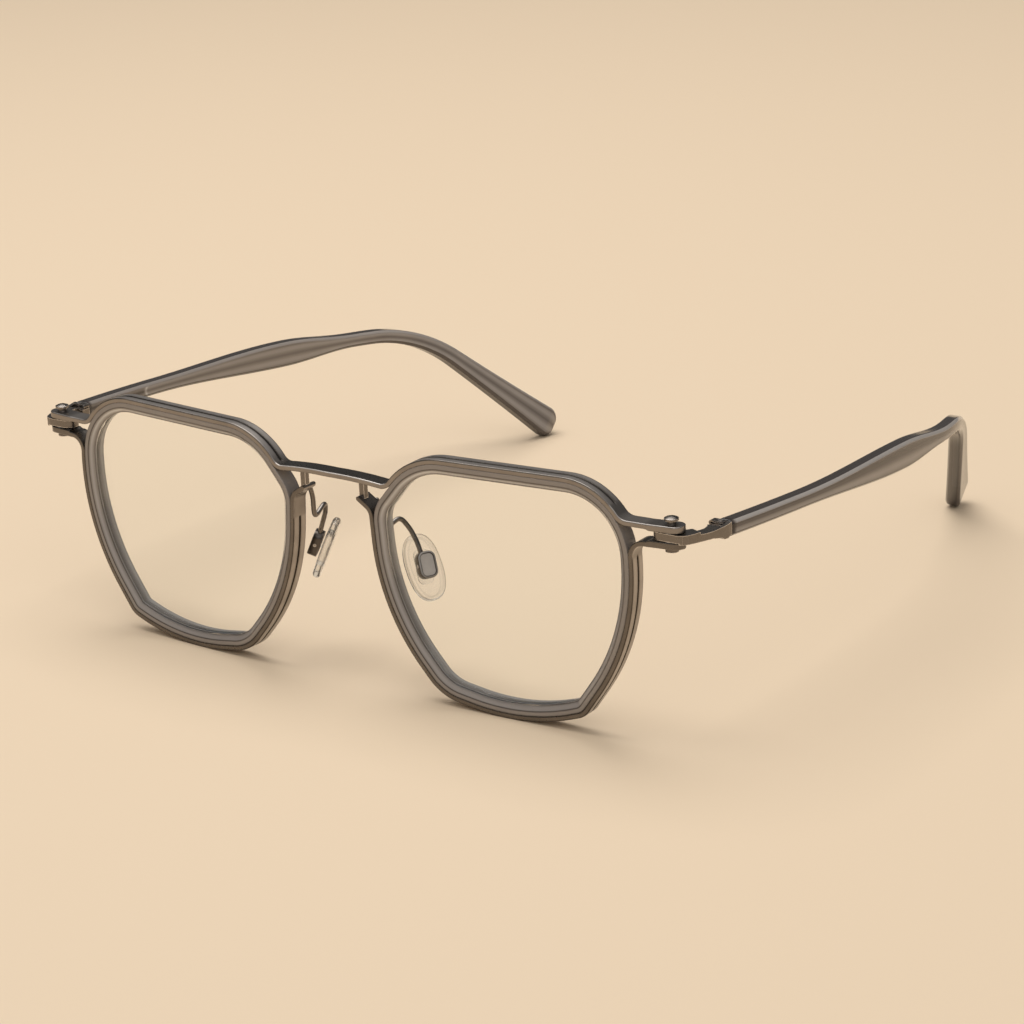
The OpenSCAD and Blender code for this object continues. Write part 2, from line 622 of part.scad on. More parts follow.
hinge_top = lug_gap + lug_t;
module hinge_screw(side) {
    neck_h = 0.5 * screw_head_h;
    crown = 1.9 * screw_head_r;
    color([0.45, 0.4, 0.34]) sided(side) hinge_axis_at() difference() {
        union() {
            translate([0, 0, -hinge_top - nut_h - 0.15])
                cylinder(h = 2 * hinge_top + nut_h + 0.15, r = screw_r, $fn = round_n);
            translate([0, 0, hinge_top]) cylinder(h = 0.6 * screw_head_h, r = 0.62 * screw_head_r, $fn = round_n);
            translate([0, 0, hinge_top]) intersection() {
                translate([0, 0, neck_h]) cylinder(h = screw_head_h, r = screw_head_r, $fn = round_n);
                translate([0, 0, screw_head_h - crown]) sphere(r = crown, $fn = 48);
            }
        }
        translate([-2, -0.15, hinge_top + screw_head_h - 0.45]) cube([4, 0.3, 2]);
    }
}

module hinge_nut(side) {
    color([0.45, 0.4, 0.34]) sided(side) hinge_axis_at() translate([0, 0, -hinge_top - nut_h]) difference() {
        cylinder(h = nut_h, r = nut_r, $fn = round_n);
        translate([0, 0, -eps]) cylinder(h = nut_h + 2 * eps, r = screw_r + run_fit / 5, $fn = round_n);
    }
}

// The metal arm: a flat tang round the screw, and a blade that sweeps out and back to the temple's section
end_out = temple_out + temple_t / 2;
block_in = temple_out - temple_t / 2 - 0.7;
platform_y = arm_len - clip_w;
arm_outer = [[1.9, -1.65], [2.9, -1.3], [3.55, -0.55], [4.0, 0.5], [4.45, 1.9], [4.9, 3.4], [5.3, 5.0], [5.6, 6.8]];
arm_inner = [[3.1, 5.2], [2.8, 4.0], [2.3, 2.8], [1.7, 2.0]];
module tang_plan() {
    half = lug_r - 0.1;
    translate([half - tang_in, 0]) circle(r = half, $fn = round_n);
    polygon(concat([[half - tang_in, -half]], [for (p = arm_outer) if (p.y < 2) p],
                   [for (p = arm_inner) if (p.y < 3) p], [[1.2, half], [half - tang_in, half]]));
}
module blade_plan() {
    difference() {
        polygon(concat(arm_outer, [[end_out, arm_len - 1], [end_out, arm_len], [block_in, arm_len],
                                   [block_in, platform_y - 0.5], [2.9, 6.4]], arm_inner));
        circle(r = lug_over + 0.15, $fn = 48);
    }
}
// Its height along the sweep: lower than the tang at first, deeper towards the temple, with a small foot
module blade_side() {
    rear_top = arm_top - hinge_h;
    rear_low = rear_top - front_h + temple_bevel;
    polygon([[-2, -0.9], [1, -1.0], [4.5, -1.15], [6.6, -1.6], [7.4, rear_low - 0.3], [8.4, rear_low - 0.3],
             [8.8, rear_low], [arm_len, rear_low], [arm_len, rear_top - 0.05], [8.2, 0.34], [7, 0.24], [4.5, 0.14],
             [2.8, 0.18], [1, 0.45], [-2, 0.6]]);
}
module temple_arm(side) {
    color([0.42, 0.37, 0.32]) sided(side) difference() {
        hinge_axis_at() {
            translate([0, 0, -tang_t / 2]) linear_extrude(tang_t) tang_plan();
            intersection() {
                translate([0, 0, -front_h - tang_t]) linear_extrude(2 * front_h + 2 * tang_t) blade_plan();
                rotate([90, 0, 90]) linear_extrude(20, center = true) blade_side();
            }
        }
        translate([screw_x + block_in - 1, screw_y, platform_z]) rotate([90, 0, 90]) linear_extrude(clip_len + 1.1)
            polygon([[platform_y - 1.5, 1], [platform_y - 0.7, 0], [arm_len + 1, 0], [arm_len + 1, 3],
                     [platform_y - 1.5, 3]]);
        screw_hole(screw_r + run_fit);
        skin([for (s = [-arm_gap - core_in - core_gap, 1]) bar(s, core_t + 2 * core_gap, tail_h + 2 * core_gap)]);
    }
}

// Two thin leaves across the arm's platform, folded at their inner end
clip_h = 2 * clip_t + clip_gap;
module at_clip() {
    translate([screw_x + block_in, screw_y + platform_y, platform_z]) children();
}
module clip_hole(r, h) {
    translate([clip_len - 0.9, clip_w / 2, 0]) cylinder(h = h, r = r, $fn = round_n);
}
module temple_clip(side) {
    color([0.45, 0.4, 0.34]) sided(side) at_clip() difference() {
        upright(0, clip_w) difference() {
            union() {
                translate([clip_h / 2, clip_h / 2]) circle(r = clip_h / 2, $fn = round_n);
                translate([clip_h / 2, 0]) square([clip_len - clip_h / 2, clip_h]);
            }
            translate([clip_h / 2, clip_h / 2]) circle(r = clip_gap / 2, $fn = round_n);
            translate([clip_h / 2, clip_t]) square([clip_len, clip_gap]);
        }
        clip_hole(rivet_r + core_gap, clip_h + 1);
    }
}

module clip_rivet(side) {
    color([0.55, 0.5, 0.42]) sided(side) at_clip() {
        clip_hole(rivet_r, clip_h);
        translate([0, 0, clip_h]) clip_hole(rivet_r + 0.15, 0.12);
    }
}

module temple_core(side) {
    color([0.5, 0.46, 0.4]) sided(side) skin([for (s = core_steps) bar(s, core_t, core_height(s))]);
}

module temple(side) {
    g = 2 * core_gap;
    cut_steps = concat(core_steps, [core_end + core_gap]);
    color([0.52, 0.47, 0.42]) sided(side) difference() {
        skin([for (s = temple_steps) ring(s, temple_t * tip_close(s), temple_h(s) * tip_close(s),
                                         temple_bevel * tip_close(s))]);
        skin([for (s = cut_steps) bar(s, core_t + g, core_height(s) + g)]);
    }
}

rim(-1);  // left_rim
rim(1);  // right_rim
lens(-1);  // left_lens
lens(1);  // right_lens
brow_bar();
lower_band(-1);  // left_lower_band
lower_band(1);  // right_lower_band
bridge_post(-1);  // left_bridge_post
bridge_post(1);  // right_bridge_post
pad_arm(-1);  // left_pad_arm
pad_arm(1);  // right_pad_arm
pad_box(-1);  // left_pad_box
pad_box(1);  // right_pad_box
pad_pin(-1);  // left_pad_pin
pad_pin(1);  // right_pad_pin
pad_plate(-1);  // left_pad_plate
pad_plate(1);  // right_pad_plate
nose_pad(-1);  // left_nose_pad
nose_pad(1);  // right_nose_pad
hinge_washers(-1);  // left_hinge_washers
hinge_washers(1);  // right_hinge_washers
hinge_screw(-1);  // left_hinge_screw
hinge_screw(1);  // right_hinge_screw
hinge_nut(-1);  // left_hinge_nut
hinge_nut(1);  // right_hinge_nut
temple_arm(-1);  // left_temple_arm
temple_arm(1);  // right_temple_arm
temple_clip(-1);  // left_temple_clip
temple_clip(1);  // right_temple_clip
clip_rivet(-1);  // left_clip_rivet
clip_rivet(1);  // right_clip_rivet
temple_core(-1);  // left_temple_core
temple_core(1);  // right_temple_core
temple(-1);  // left_temple
temple(1);  // right_temple
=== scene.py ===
"""Polygonal reading glasses: smooth pieces, materials, floor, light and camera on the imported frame.
Lengths are millimetres in the upright frame of part.scad: x across, y back, z up from the lens centres. placed()
turns them into metres in the row frame, in which the glasses stand on the floor."""
import json
import math

import bpy
import numpy as np
from mathutils import Matrix, Vector


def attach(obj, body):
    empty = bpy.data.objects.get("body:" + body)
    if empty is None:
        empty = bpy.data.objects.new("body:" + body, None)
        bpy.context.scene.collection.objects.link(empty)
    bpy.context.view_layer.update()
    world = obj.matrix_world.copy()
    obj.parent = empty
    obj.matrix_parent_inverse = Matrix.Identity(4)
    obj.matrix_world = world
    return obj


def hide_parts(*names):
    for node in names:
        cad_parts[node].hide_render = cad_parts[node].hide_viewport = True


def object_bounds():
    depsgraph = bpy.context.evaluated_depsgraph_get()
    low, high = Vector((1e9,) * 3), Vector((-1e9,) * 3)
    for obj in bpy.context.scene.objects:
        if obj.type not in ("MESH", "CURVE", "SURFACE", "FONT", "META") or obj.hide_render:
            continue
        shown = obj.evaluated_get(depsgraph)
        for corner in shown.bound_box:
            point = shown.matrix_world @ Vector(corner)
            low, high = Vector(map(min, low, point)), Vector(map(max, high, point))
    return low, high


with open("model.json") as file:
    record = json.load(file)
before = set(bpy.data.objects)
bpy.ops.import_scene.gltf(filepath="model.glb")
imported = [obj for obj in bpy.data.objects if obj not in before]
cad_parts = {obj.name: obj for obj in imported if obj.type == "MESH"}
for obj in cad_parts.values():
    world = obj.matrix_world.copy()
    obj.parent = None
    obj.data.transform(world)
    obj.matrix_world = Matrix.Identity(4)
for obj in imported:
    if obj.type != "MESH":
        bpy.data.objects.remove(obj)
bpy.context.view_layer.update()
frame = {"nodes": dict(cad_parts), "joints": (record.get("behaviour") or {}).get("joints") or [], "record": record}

# ---------------------------------------------------------------- named values, as in part.scad
LENS_PITCH = 71.2
CORNERS = [(-18.0, 22.2, 13.8), (25.3, 23.0, 12.4), (26.3, -3.1, 39.0), (15.6, -18.3, 3.0), (4.0, -22.6, 42.0),
           (-13.2, -19.8, 9.4), (-25.1, -6.0, 37.0), (-26.3, 12.2, 6.7)]
RIM_D, RIM_W, SLOPE_W, SLOPE_D, GROOVE_D, GROOVE_W, RIM_CHAMFER = 3.3, 2.0, 1.05, 0.8, 0.5, 0.9, 0.25
LENS_T, LENS_CURVE, WRAP = 1.8, 260.0, 2.7
STRIP_T, BRIDGE_H, BRIDGE_RISE, BRIDGE_BEND, LUG_BEND, LINE_D, LINE_W = 0.9, 16.2, 0.6, 3.0, 3.1, 0.15, 0.45
HOOK_H, HOOK_BEND, HOOK_TURN, HOOK_LEN, BRIDGE_FLAT = 10.7, 2.9, 52.0, 1.9, 0.8
HINGE_OUT, HINGE_H, HINGE_Y, LUG_IN, LUG_OVER, LUG_T, LUG_R = 6.6, 15.8, 2.15, 3.8, 2.6, 1.15, 1.75
TANG_T, WASHER_T, RUN_GAP, ARM_LEN, ARM_GAP = 1.35, 0.15, 0.03, 9.4, 0.3
TEMPLE_OUT, TEMPLE_T, FRONT_H, BLADE_H, NECK_H, TIP_H = 4.3, 3.0, 2.8, 5.2, 2.8, 6.8
SWELL_AT, BLADE_AT, NECK_AT, BEND_AT, BEND_R, BEND_ANGLE, TIP_LEN = 22.0, 60.0, 80.0, 85.0, 30.5, 38.5, 28.5
TEMPLE_SLOPE, TEMPLE_DROP, BOW_TURN, HUG_R, EAR_TURN, TURN_BEFORE, TURN_LEN = 3.2, 1.6, 4.745, 349.7, 21.3, 8.0, 14.0
TEMPLE_BEVEL = 0.5
BOX_PITCH, BOX_Y, BOX_Z, PAD_SPLAY, PAD_LEAN, BOX_W, BOX_H, BOX_T = 25.2, 10.25, -0.8, 61.5, 23.0, 3.4, 4.9, 1.8
BOX_WALL, FACE_IN, FACE_T = 0.4, 0.12, 0.2
PAD_H, PAD_W, PAD_GAP, PAD_DROP, PAD_BACK, PAD_TURN, PAD_POWER, WIRE_R = 12.4, 7.0, 0.4, 0.3, 0.3, 7.0, 2 / 2.4, 0.45

# Values that only the finer meshes have: how far each rounding reaches, and how close stations and points stand
RIM_CUTS, RIM_STEP = [0.12, 0.12, 0.1, 0.1, 0.04, 0.04, 0.04, 0.16, 0.16], 0.12
STRIP_CUTS, STRIP_STEP = [0.2, 0.04, 0.04, 0.04, 0.04, 0.2, 0.1, 0.1], 0.35
TEMPLE_CUT, TEMPLE_STATIONS = 0.35, 110
LENS_FIT = 0.02  # air between a lens and its rim
CORE_END = 17.6  # where the core's leaf ends, seen as a light line on a temple's inner side
SHARP_ANGLE = 35  # degrees, above which an edge stays crisp and a CAD edge is rounded
BROW_FRONT_TONE, BAND_FRONT_TONE = 0.3, -0.15


def sin(a):
    return math.sin(math.radians(a))


def cos(a):
    return math.cos(math.radians(a))


def unit(v):
    v = np.asarray(v, float)
    return v / np.linalg.norm(v)


def direction(a):
    return np.array([cos(a), sin(a)])


def angle(v):
    return math.degrees(math.atan2(v[1], v[0]))


def clamp(t):
    return min(1.0, max(0.0, t))


def hump(d, reach):
    """1 at d = 0, falling softly to nothing by about twice the reach."""
    return math.exp(-(d / reach) ** 2)


# ---------------------------------------------------------------- rounded outline of a rim
CORNER_N = len(CORNERS)


def corner(i):
    c = CORNERS[i % CORNER_N]
    return np.array([c[0] + LENS_PITCH / 2, c[1]])


def edge_dir(i):
    return unit(corner(i + 1) - corner(i))


def inward(d):
    return np.array([d[1], -d[0]])


def corner_centre(i):
    d1, d2 = edge_dir(i - 1), edge_dir(i)
    half = math.acos(float(d1 @ d2)) / 2
    return corner(i) + unit(inward(d1) + inward(d2)) * CORNERS[i % CORNER_N][2] / math.cos(half)


def start_angle(i):
    return angle(-inward(edge_dir(i - 1)))


def end_angle(i):
    a = angle(-inward(edge_dir(i)))
    return a - 360 if a > start_angle(i) else a


def bend(centre, r, a0, a1, n, side):
    """Stations (point, outward direction) along an arc.
    side is 1 where the arc bulges outward and -1 where it is hollow."""
    return [(centre + r * direction(a), side * direction(a)) for a in np.linspace(a0, a1, n + 1)]


def corner_bend(i, n):
    return bend(corner_centre(i), CORNERS[i % CORNER_N][2], start_angle(i), end_angle(i), n, 1)


def close_steps(stations, step, closed=False):
    """The same line with more stations on its straight runs."""
    out = []
    last = len(stations) if closed else len(stations) - 1
    for i in range(last):
        (p, n), (q, m) = stations[i], stations[(i + 1) % len(stations)]
        k = max(1, int(np.linalg.norm(q - p) / step))
        out += [(p + (q - p) * j / k, unit(n + (m - n) * j / k)) for j in range(k)]
    return out if closed else out + [stations[-1]]


rim_line = close_steps([s for i in range(CORNER_N) for s in corner_bend(i, 18)], 3.0, closed=True)

# ---------------------------------------------------------------- lines of the metal strips
LUG_GAP = TANG_T / 2 + RUN_GAP + WASHER_T
upper_lug_z = HINGE_H + LUG_GAP + LUG_T - STRIP_T
lower_lug_z = HINGE_H - LUG_GAP - LUG_T + STRIP_T
screw_x = float(corner(2)[0]) + HINGE_OUT
lug_end = screw_x + LUG_OVER
lug_from = screw_x - LUG_IN
nose_edge = edge_dir(CORNER_N - 1)
bridge_corner = corner(CORNER_N - 1) + nose_edge * (BRIDGE_H - corner(CORNER_N - 1)[1]) / nose_edge[1]
bend_half = math.degrees(math.acos(nose_edge[0])) / 2
bridge_centre = bridge_corner + np.array([-BRIDGE_BEND * math.tan(math.radians(bend_half)), BRIDGE_BEND])
side_centre, side_r = corner_centre(1), CORNERS[1][2]
upper_leave = math.degrees(math.asin((upper_lug_z + LUG_BEND - side_centre[1]) / (side_r + LUG_BEND)))
lower_leave = math.degrees(math.asin((lower_lug_z - LUG_BEND - side_centre[1]) / (side_r + LUG_BEND)))
upper_turn = side_centre + (side_r + LUG_BEND) * direction(upper_leave)
lower_turn = side_centre + (side_r + LUG_BEND) * direction(lower_leave)
wrap_x = float(bridge_centre[0])
nose_side = edge_dir(CORNER_N - 2)
hook_root = corner(CORNER_N - 1) - nose_side * (corner(CORNER_N - 1)[1] - HOOK_H) / nose_side[1]
hook_centre = hook_root - inward(nose_side) * HOOK_BEND
hook_a = angle(inward(nose_side))

# ---------------------------------------------------------------- placement in the row frame
screw_y = (screw_x - wrap_x) * sin(WRAP) + HINGE_Y
hinge = next(j for j in frame["joints"] if j["name"] == "right_temple_hinge")
lean = -math.degrees(math.asin(hinge["axis"][1]))
lean_turn = np.array([[1, 0, 0], [0, cos(lean), -sin(lean)], [0, sin(lean), cos(lean)]])
shift = np.array(hinge["pos_m"]) * 1000 - lean_turn @ np.array([screw_x, screw_y, HINGE_H])


def wrapped(p):
    """Points of a rim, drawn flat, turned towards the temple."""
    p = np.asarray(p, float)
    x, y = p[..., 0] - wrap_x, p[..., 1]
    return np.stack([wrap_x + x * cos(WRAP) - y * sin(WRAP), x * sin(WRAP) + y * cos(WRAP), p[..., 2]], -1)


def placed(p, side=1):
    """Metres in the row frame, for the right side (1) or the left (-1)."""
    p = np.asarray(p, float) * np.array([side, 1, 1])
    return (p @ lean_turn.T + shift) / 1000


# ---------------------------------------------------------------- meshes
def fillet(points, cuts, steps=4):
    """A closed polygon with its corners rounded. cuts gives how far each rounding reaches along its edges."""
    pts = [np.asarray(p, float) for p in points]
    n, out = len(pts), []
    for i, v in enumerate(pts):
        to_prev, to_next = pts[i - 1] - v, pts[(i + 1) % n] - v
        c = min(cuts[i], 0.45 * np.linalg.norm(to_prev), 0.45 * np.linalg.norm(to_next))
        if cuts[i] == 0:
            out.append(v)
            continue
        a, b = v + unit(to_prev) * c, v + unit(to_next) * c
        for k in range(steps + 1):
            t = k / steps
            out.append((1 - t) ** 2 * a + 2 * t * (1 - t) * v + t * t * b)
    return out


def smooth_normals(obj):
    """Even shading on broad faces, with sharp edges left crisp."""
    group = bpy.data.node_groups.get("smooth_by_angle")
    if group is None:
        group = bpy.data.node_groups.new("smooth_by_angle", "GeometryNodeTree")
        group.interface.new_socket("Geometry", in_out="INPUT", socket_type="NodeSocketGeometry")
        group.interface.new_socket("Geometry", in_out="OUTPUT", socket_type="NodeSocketGeometry")
        nodes, links = group.nodes, group.links
        given, result = nodes.new("NodeGroupInput"), nodes.new("NodeGroupOutput")
        faces, edges = nodes.new("GeometryNodeSetShadeSmooth"), nodes.new("GeometryNodeSetShadeSmooth")
        edges.domain = "EDGE"
        edge_angle, below = nodes.new("GeometryNodeInputMeshEdgeAngle"), nodes.new("FunctionNodeCompare")
        below.operation = "LESS_THAN"
        below.inputs[1].default_value = math.radians(SHARP_ANGLE)
        links.new(given.outputs[0], faces.inputs["Geometry"])
        links.new(faces.outputs[0], edges.inputs["Geometry"])
        links.new(edge_angle.outputs["Unsigned Angle"], below.inputs[0])
        links.new(below.outputs[0], edges.inputs["Shade Smooth"])
        links.new(edges.outputs[0], result.inputs[0])
    obj.modifiers.new("smooth", "NODES").node_group = group
    even = obj.modifiers.new("even_normals", "WEIGHTED_NORMAL")
    even.keep_sharp = True


def refined(points, step):
    """A closed polygon with more points near the ends of its long sides."""
    out = []
    for i, p in enumerate(points):
        q = points[(i + 1) % len(points)]
        d = float(np.linalg.norm(q - p))
        places = [0.0]
        if d > 3 * step:
            k = max(2, math.ceil((d - 2 * step) / (2.5 * step)))
            places += [step + (d - 2 * step) * j / k for j in range(k + 1)]
        out += [p + (q - p) * (t / d) for t in places]
    return out


def marked(point, marks):
    """The sum of soft marks (place, reach, strength) at a point of a section."""
    return sum(w * math.exp(-((point[0] - p[0]) ** 2 + (point[1] - p[1]) ** 2) / r ** 2) for p, r, w in marks)


def make(name, rings, side, body, nodes, mat, loop_end=False, tone=None):
    """A closed skin through rings of equally many points, with its two ends capped, or joined where loop_end is set.
    tone, from -1 to 1 for each point, is painted light and shade (and on a temple the core's streak), kept on the mesh
    for its material."""
    rings = np.asarray(rings, float)
    m, n = rings.shape[:2]
    verts = placed(rings.reshape(-1, 3), side)
    i, j = np.meshgrid(np.arange(m if loop_end else m - 1), np.arange(n), indexing="ij")
    i, j = i.ravel(), j.ravel()
    k, l = (i + 1) % m, (j + 1) % n
    faces = np.stack([i * n + j, i * n + l, k * n + l, k * n + j], -1)
    centre = verts.reshape(m, n, 3).mean(1)
    a, b, d = verts[faces[:, 0]], verts[faces[:, 1]], verts[faces[:, 3]]
    outward = np.cross(b - a, d - a)
    volume = ((a if loop_end else a - centre[i]) * outward).sum()
    if volume < 0:  # the faces look inward
        faces = faces[:, ::-1]
    faces = faces.tolist()
    if not loop_end:
        first, last = list(range(n)), [(m - 1) * n + q for q in range(n)]
        faces += [first, last[::-1]] if volume < 0 else [first[::-1], last]
    mesh = bpy.data.meshes.new(name)
    mesh.from_pydata(verts.tolist(), [], faces)
    mesh.validate()
    mesh.update()
    if tone is not None:
        values = np.clip(np.asarray(tone, float).ravel(), -1, 1)
        shade = mesh.color_attributes.new("tone", "FLOAT_COLOR", "POINT")
        shade.data.foreach_set("color", np.stack([values, values, values, np.ones_like(values)], -1).ravel())
    obj = bpy.data.objects.new(name, mesh)
    bpy.context.scene.collection.objects.link(obj)
    obj.data.materials.append(mat)
    smooth_normals(obj)
    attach(obj, body)
    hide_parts(*nodes)
    return obj


# ---------------------------------------------------------------- materials
def material(name, **values):
    """A material with a Principled shader, its node tree's add and link helpers, and the shader's plain values set."""
    mat = bpy.data.materials.new(name)
    mat.use_nodes = True
    tree = mat.node_tree
    shader = tree.nodes["Principled BSDF"]
    for key, value in values.items():
        shader.inputs[key.replace("_", " ")].default_value = value

    def add(kind, **settings):
        node = tree.nodes.new(kind)
        for key, value in settings.items():
            if key in node.inputs:
                node.inputs[key].default_value = value
            else:
                setattr(node, key, value)
        return node

    return mat, shader, add, tree.links.new


def ramp(add, link, source, stops):
    """A colour ramp fed by source, with its stops as (place, colour)."""
    node = add("ShaderNodeValToRGB")
    elements = node.color_ramp.elements
    while len(elements) < len(stops):
        elements.new(0.5)
    for element, (place, colour) in zip(elements, stops):
        element.position = place
        element.color = (*colour, 1)
    link(source, node.inputs["Fac"])
    return node.outputs["Color"]


def spread(add, link, source, low, high):
    """source, from 0 to 1, spread from low to high."""
    node = add("ShaderNodeMapRange")
    node.inputs["To Min"].default_value = low
    node.inputs["To Max"].default_value = high
    link(source, node.inputs["Value"])
    return node.outputs["Result"]


def place_noise(add, link, scale, stretch=(1, 1, 1), detail=3.0):
    """Noise by place on the object, in cells per metre."""
    coords = add("ShaderNodeTexCoord")
    mapping = add("ShaderNodeMapping")
    mapping.inputs["Scale"].default_value = stretch
    noise = add("ShaderNodeTexNoise", Scale=scale, Detail=detail)
    link(coords.outputs["Object"], mapping.inputs["Vector"])
    link(mapping.outputs["Vector"], noise.inputs["Vector"])
    return noise.outputs["Fac"]


def tone_place(add, link):
    """The mesh's tone of painted light and shade, spread from -1 to 1 over 0 to 1 (0.5 where a mesh has none)."""
    tone = add("ShaderNodeAttribute")
    tone.attribute_name = "tone"
    place = add("ShaderNodeMapRange")
    place.inputs["From Min"].default_value = -1
    link(tone.outputs["Fac"], place.inputs["Value"])
    return place.outputs["Result"]


def toned(add, link, stops, noise, low, high):
    """Colour by the mesh's tone, which paints light and shade, varied a little by noise."""
    colour = ramp(add, link, tone_place(add, link), stops)
    vary = add("ShaderNodeMix", data_type="RGBA", blend_type="MULTIPLY")
    vary.inputs[0].default_value = 1
    link(colour, vary.inputs[6])
    link(ramp(add, link, noise, [(0.3, (low,) * 3), (0.7, (high,) * 3)]), vary.inputs[7])
    return vary.outputs[2]


def grain(add, link, shader, height, strength, distance):
    """Fine relief on a shader, from a height of 0 to 1."""
    bump = add("ShaderNodeBump", Strength=strength, Distance=distance)
    link(height, bump.inputs["Height"])
    link(bump.outputs["Normal"], shader.inputs["Normal"])


def acetate(name, stretch, coat):
    """Smoky half-translucent acetate, polished, with soft cloudy streaks along its length, and the painted light and
    shade of the mesh's tone, such as painted shade along its edges.
    """
    mat, shader, add, link = material(name, IOR=1.49, Coat_Weight=coat, Coat_Roughness=0.04)
    streaks = place_noise(add, link, 90, stretch)
    stops = [(0.0, (0.028, 0.022, 0.019)), (0.25, (0.125, 0.105, 0.095)), (0.5, (0.345, 0.305, 0.275)),
             (0.75, (0.58, 0.545, 0.515)), (1.0, (0.95, 0.93, 0.91))]
    link(toned(add, link, stops, streaks, 0.88, 1.0), shader.inputs["Base Color"])
    link(spread(add, link, streaks, 0.18, 0.28), shader.inputs["Transmission Weight"])
    haze = place_noise(add, link, 900)
    link(spread(add, link, haze, 0.08, 0.15), shader.inputs["Roughness"])
    grain(add, link, shader, haze, 0.05, 0.00005)
    return mat


def painted_edge_highlight(add, link, colour, light):
    """colour with a painted highlight: mixed with a lighter one along the edges, where the surface turns sharply."""
    turned, flat = add("ShaderNodeBevel", Radius=0.0002), add("ShaderNodeNewGeometry")
    turned.samples = 6
    agree, edge_highlight = add("ShaderNodeVectorMath", operation="DOT_PRODUCT"), add("ShaderNodeMapRange")
    link(turned.outputs["Normal"], agree.inputs[0])
    link(flat.outputs["True Normal"], agree.inputs[1])
    link(agree.outputs["Value"], edge_highlight.inputs["Value"])
    edge_highlight.inputs["From Min"].default_value, edge_highlight.inputs["From Max"].default_value = 0.99, 0.85
    mix = add("ShaderNodeMix", data_type="RGBA")
    link(edge_highlight.outputs["Result"], mix.inputs[0])
    link(colour, mix.inputs[6])
    mix.inputs[7].default_value = (*light, 1)
    return mix.outputs[2]


def plated(name, share, rough, edge_highlight=False):
    """Satin plated metal: mottled, with a fine grain, and more matt where its tone of painted light and shade is light.
    share is how light it is, and the last flag adds a painted highlight along the edges."""
    mat, shader, add, link = material(name, Metallic=1.0)
    mottle = place_noise(add, link, 260, detail=5)
    stops = [(0.0, (0.02, 0.017, 0.015)), (0.25, (0.09, 0.078, 0.067)), (0.5, (0.23, 0.205, 0.185)),
             (0.75, (0.39, 0.355, 0.33)), (1.0, (0.86, 0.80, 0.75))]
    stops = [(place, tuple(min(1.0, share * c) for c in colour)) for place, colour in stops]
    colour = toned(add, link, stops, mottle, 0.82, 1.0)
    # With the flag set, a painted highlight runs along the edges
    link(painted_edge_highlight(add, link, colour, stops[-1][1]) if edge_highlight else colour, shader.inputs["Base Color"])
    fine = place_noise(add, link, 2600, detail=4)
    matt = add("ShaderNodeMapRange")
    matt.inputs["From Min"].default_value, matt.inputs["To Max"].default_value = 0.6, 0.55
    link(tone_place(add, link), matt.inputs["Value"])
    link(spread(add, link, fine, rough - 0.07, rough + 0.09), matt.inputs["To Min"])
    link(matt.outputs["Result"], shader.inputs["Roughness"])
    grain(add, link, shader, fine, 0.12, 0.00002)
    return mat


def clear_lens(name):
    """Clear lens with its gloss by angle. What is behind it and its shadow stay light."""
    mat, shader, add, link = material(name)
    tree = mat.node_tree
    out = tree.nodes["Material Output"]
    tree.nodes.remove(shader)
    see = add("ShaderNodeBsdfTransparent", Color=(0.985, 0.99, 0.988, 1))
    gloss = add("ShaderNodeBsdfGlossy", Roughness=0.03)
    smear = place_noise(add, link, 60)
    link(spread(add, link, smear, 0.015, 0.05), gloss.inputs["Roughness"])
    mix, fresnel = add("ShaderNodeMixShader"), add("ShaderNodeFresnel", IOR=1.1)
    link(fresnel.outputs["Fac"], mix.inputs["Fac"])
    link(see.outputs[0], mix.inputs[1])
    link(gloss.outputs[0], mix.inputs[2])
    link(mix.outputs[0], out.inputs["Surface"])
    return mat


def silicone(name):
    """Clear silicone with a faint haze, darker where the mesh's tone paints shade, as on the dark rings round a pad's
    edge.
    """
    mat, shader, add, link = material(name, IOR=1.41, Transmission_Weight=0.97)
    haze = place_noise(add, link, 700)
    stops = [(0.0, (0.42, 0.40, 0.38)), (0.25, (0.72, 0.71, 0.70)), (0.5, (1.0, 1.0, 1.0))]
    link(toned(add, link, stops, haze, 0.94, 1.0), shader.inputs["Base Color"])
    link(spread(add, link, haze, 0.04, 0.12), shader.inputs["Roughness"])
    return mat


rim_acetate = acetate("rim_acetate", (1, 1, 1), 0.3)
temple_acetate = acetate("temple_acetate", (3, 0.25, 3), 0.1)
metal = plated("gunmetal", 1.0, 0.28)
dark_metal = plated("dark_gunmetal", 0.8, 0.3)
# These three carry a painted highlight along their edges
edge_highlit_metal = plated("gunmetal_painted_highlight", 1.0, 0.28, edge_highlight=True)
edge_highlit_dark_metal = plated("dark_gunmetal_painted_highlight", 0.8, 0.3, edge_highlight=True)
steel = plated("nickel_silver", 2.1, 0.3, edge_highlight=True)
glass = clear_lens("clear_lens")
soft_clear = silicone("clear_silicone")
SLOT_MATERIALS = {"metal": edge_highlit_metal, "dark_metal": edge_highlit_dark_metal, "steel": steel, "pad_core": soft_clear}

# ---------------------------------------------------------------- rims and lenses
mid = RIM_D / 2
rim_section = refined(fillet(
    [(0, 0), (0, RIM_D), (-RIM_W + RIM_CHAMFER, RIM_D), (-RIM_W, RIM_D - RIM_CHAMFER), (-RIM_W, mid + GROOVE_W / 2),
     (-RIM_W + GROOVE_D, mid), (-RIM_W, mid - GROOVE_W / 2), (-RIM_W, SLOPE_D), (-RIM_W + SLOPE_W, 0)],
    RIM_CUTS), RIM_STEP)


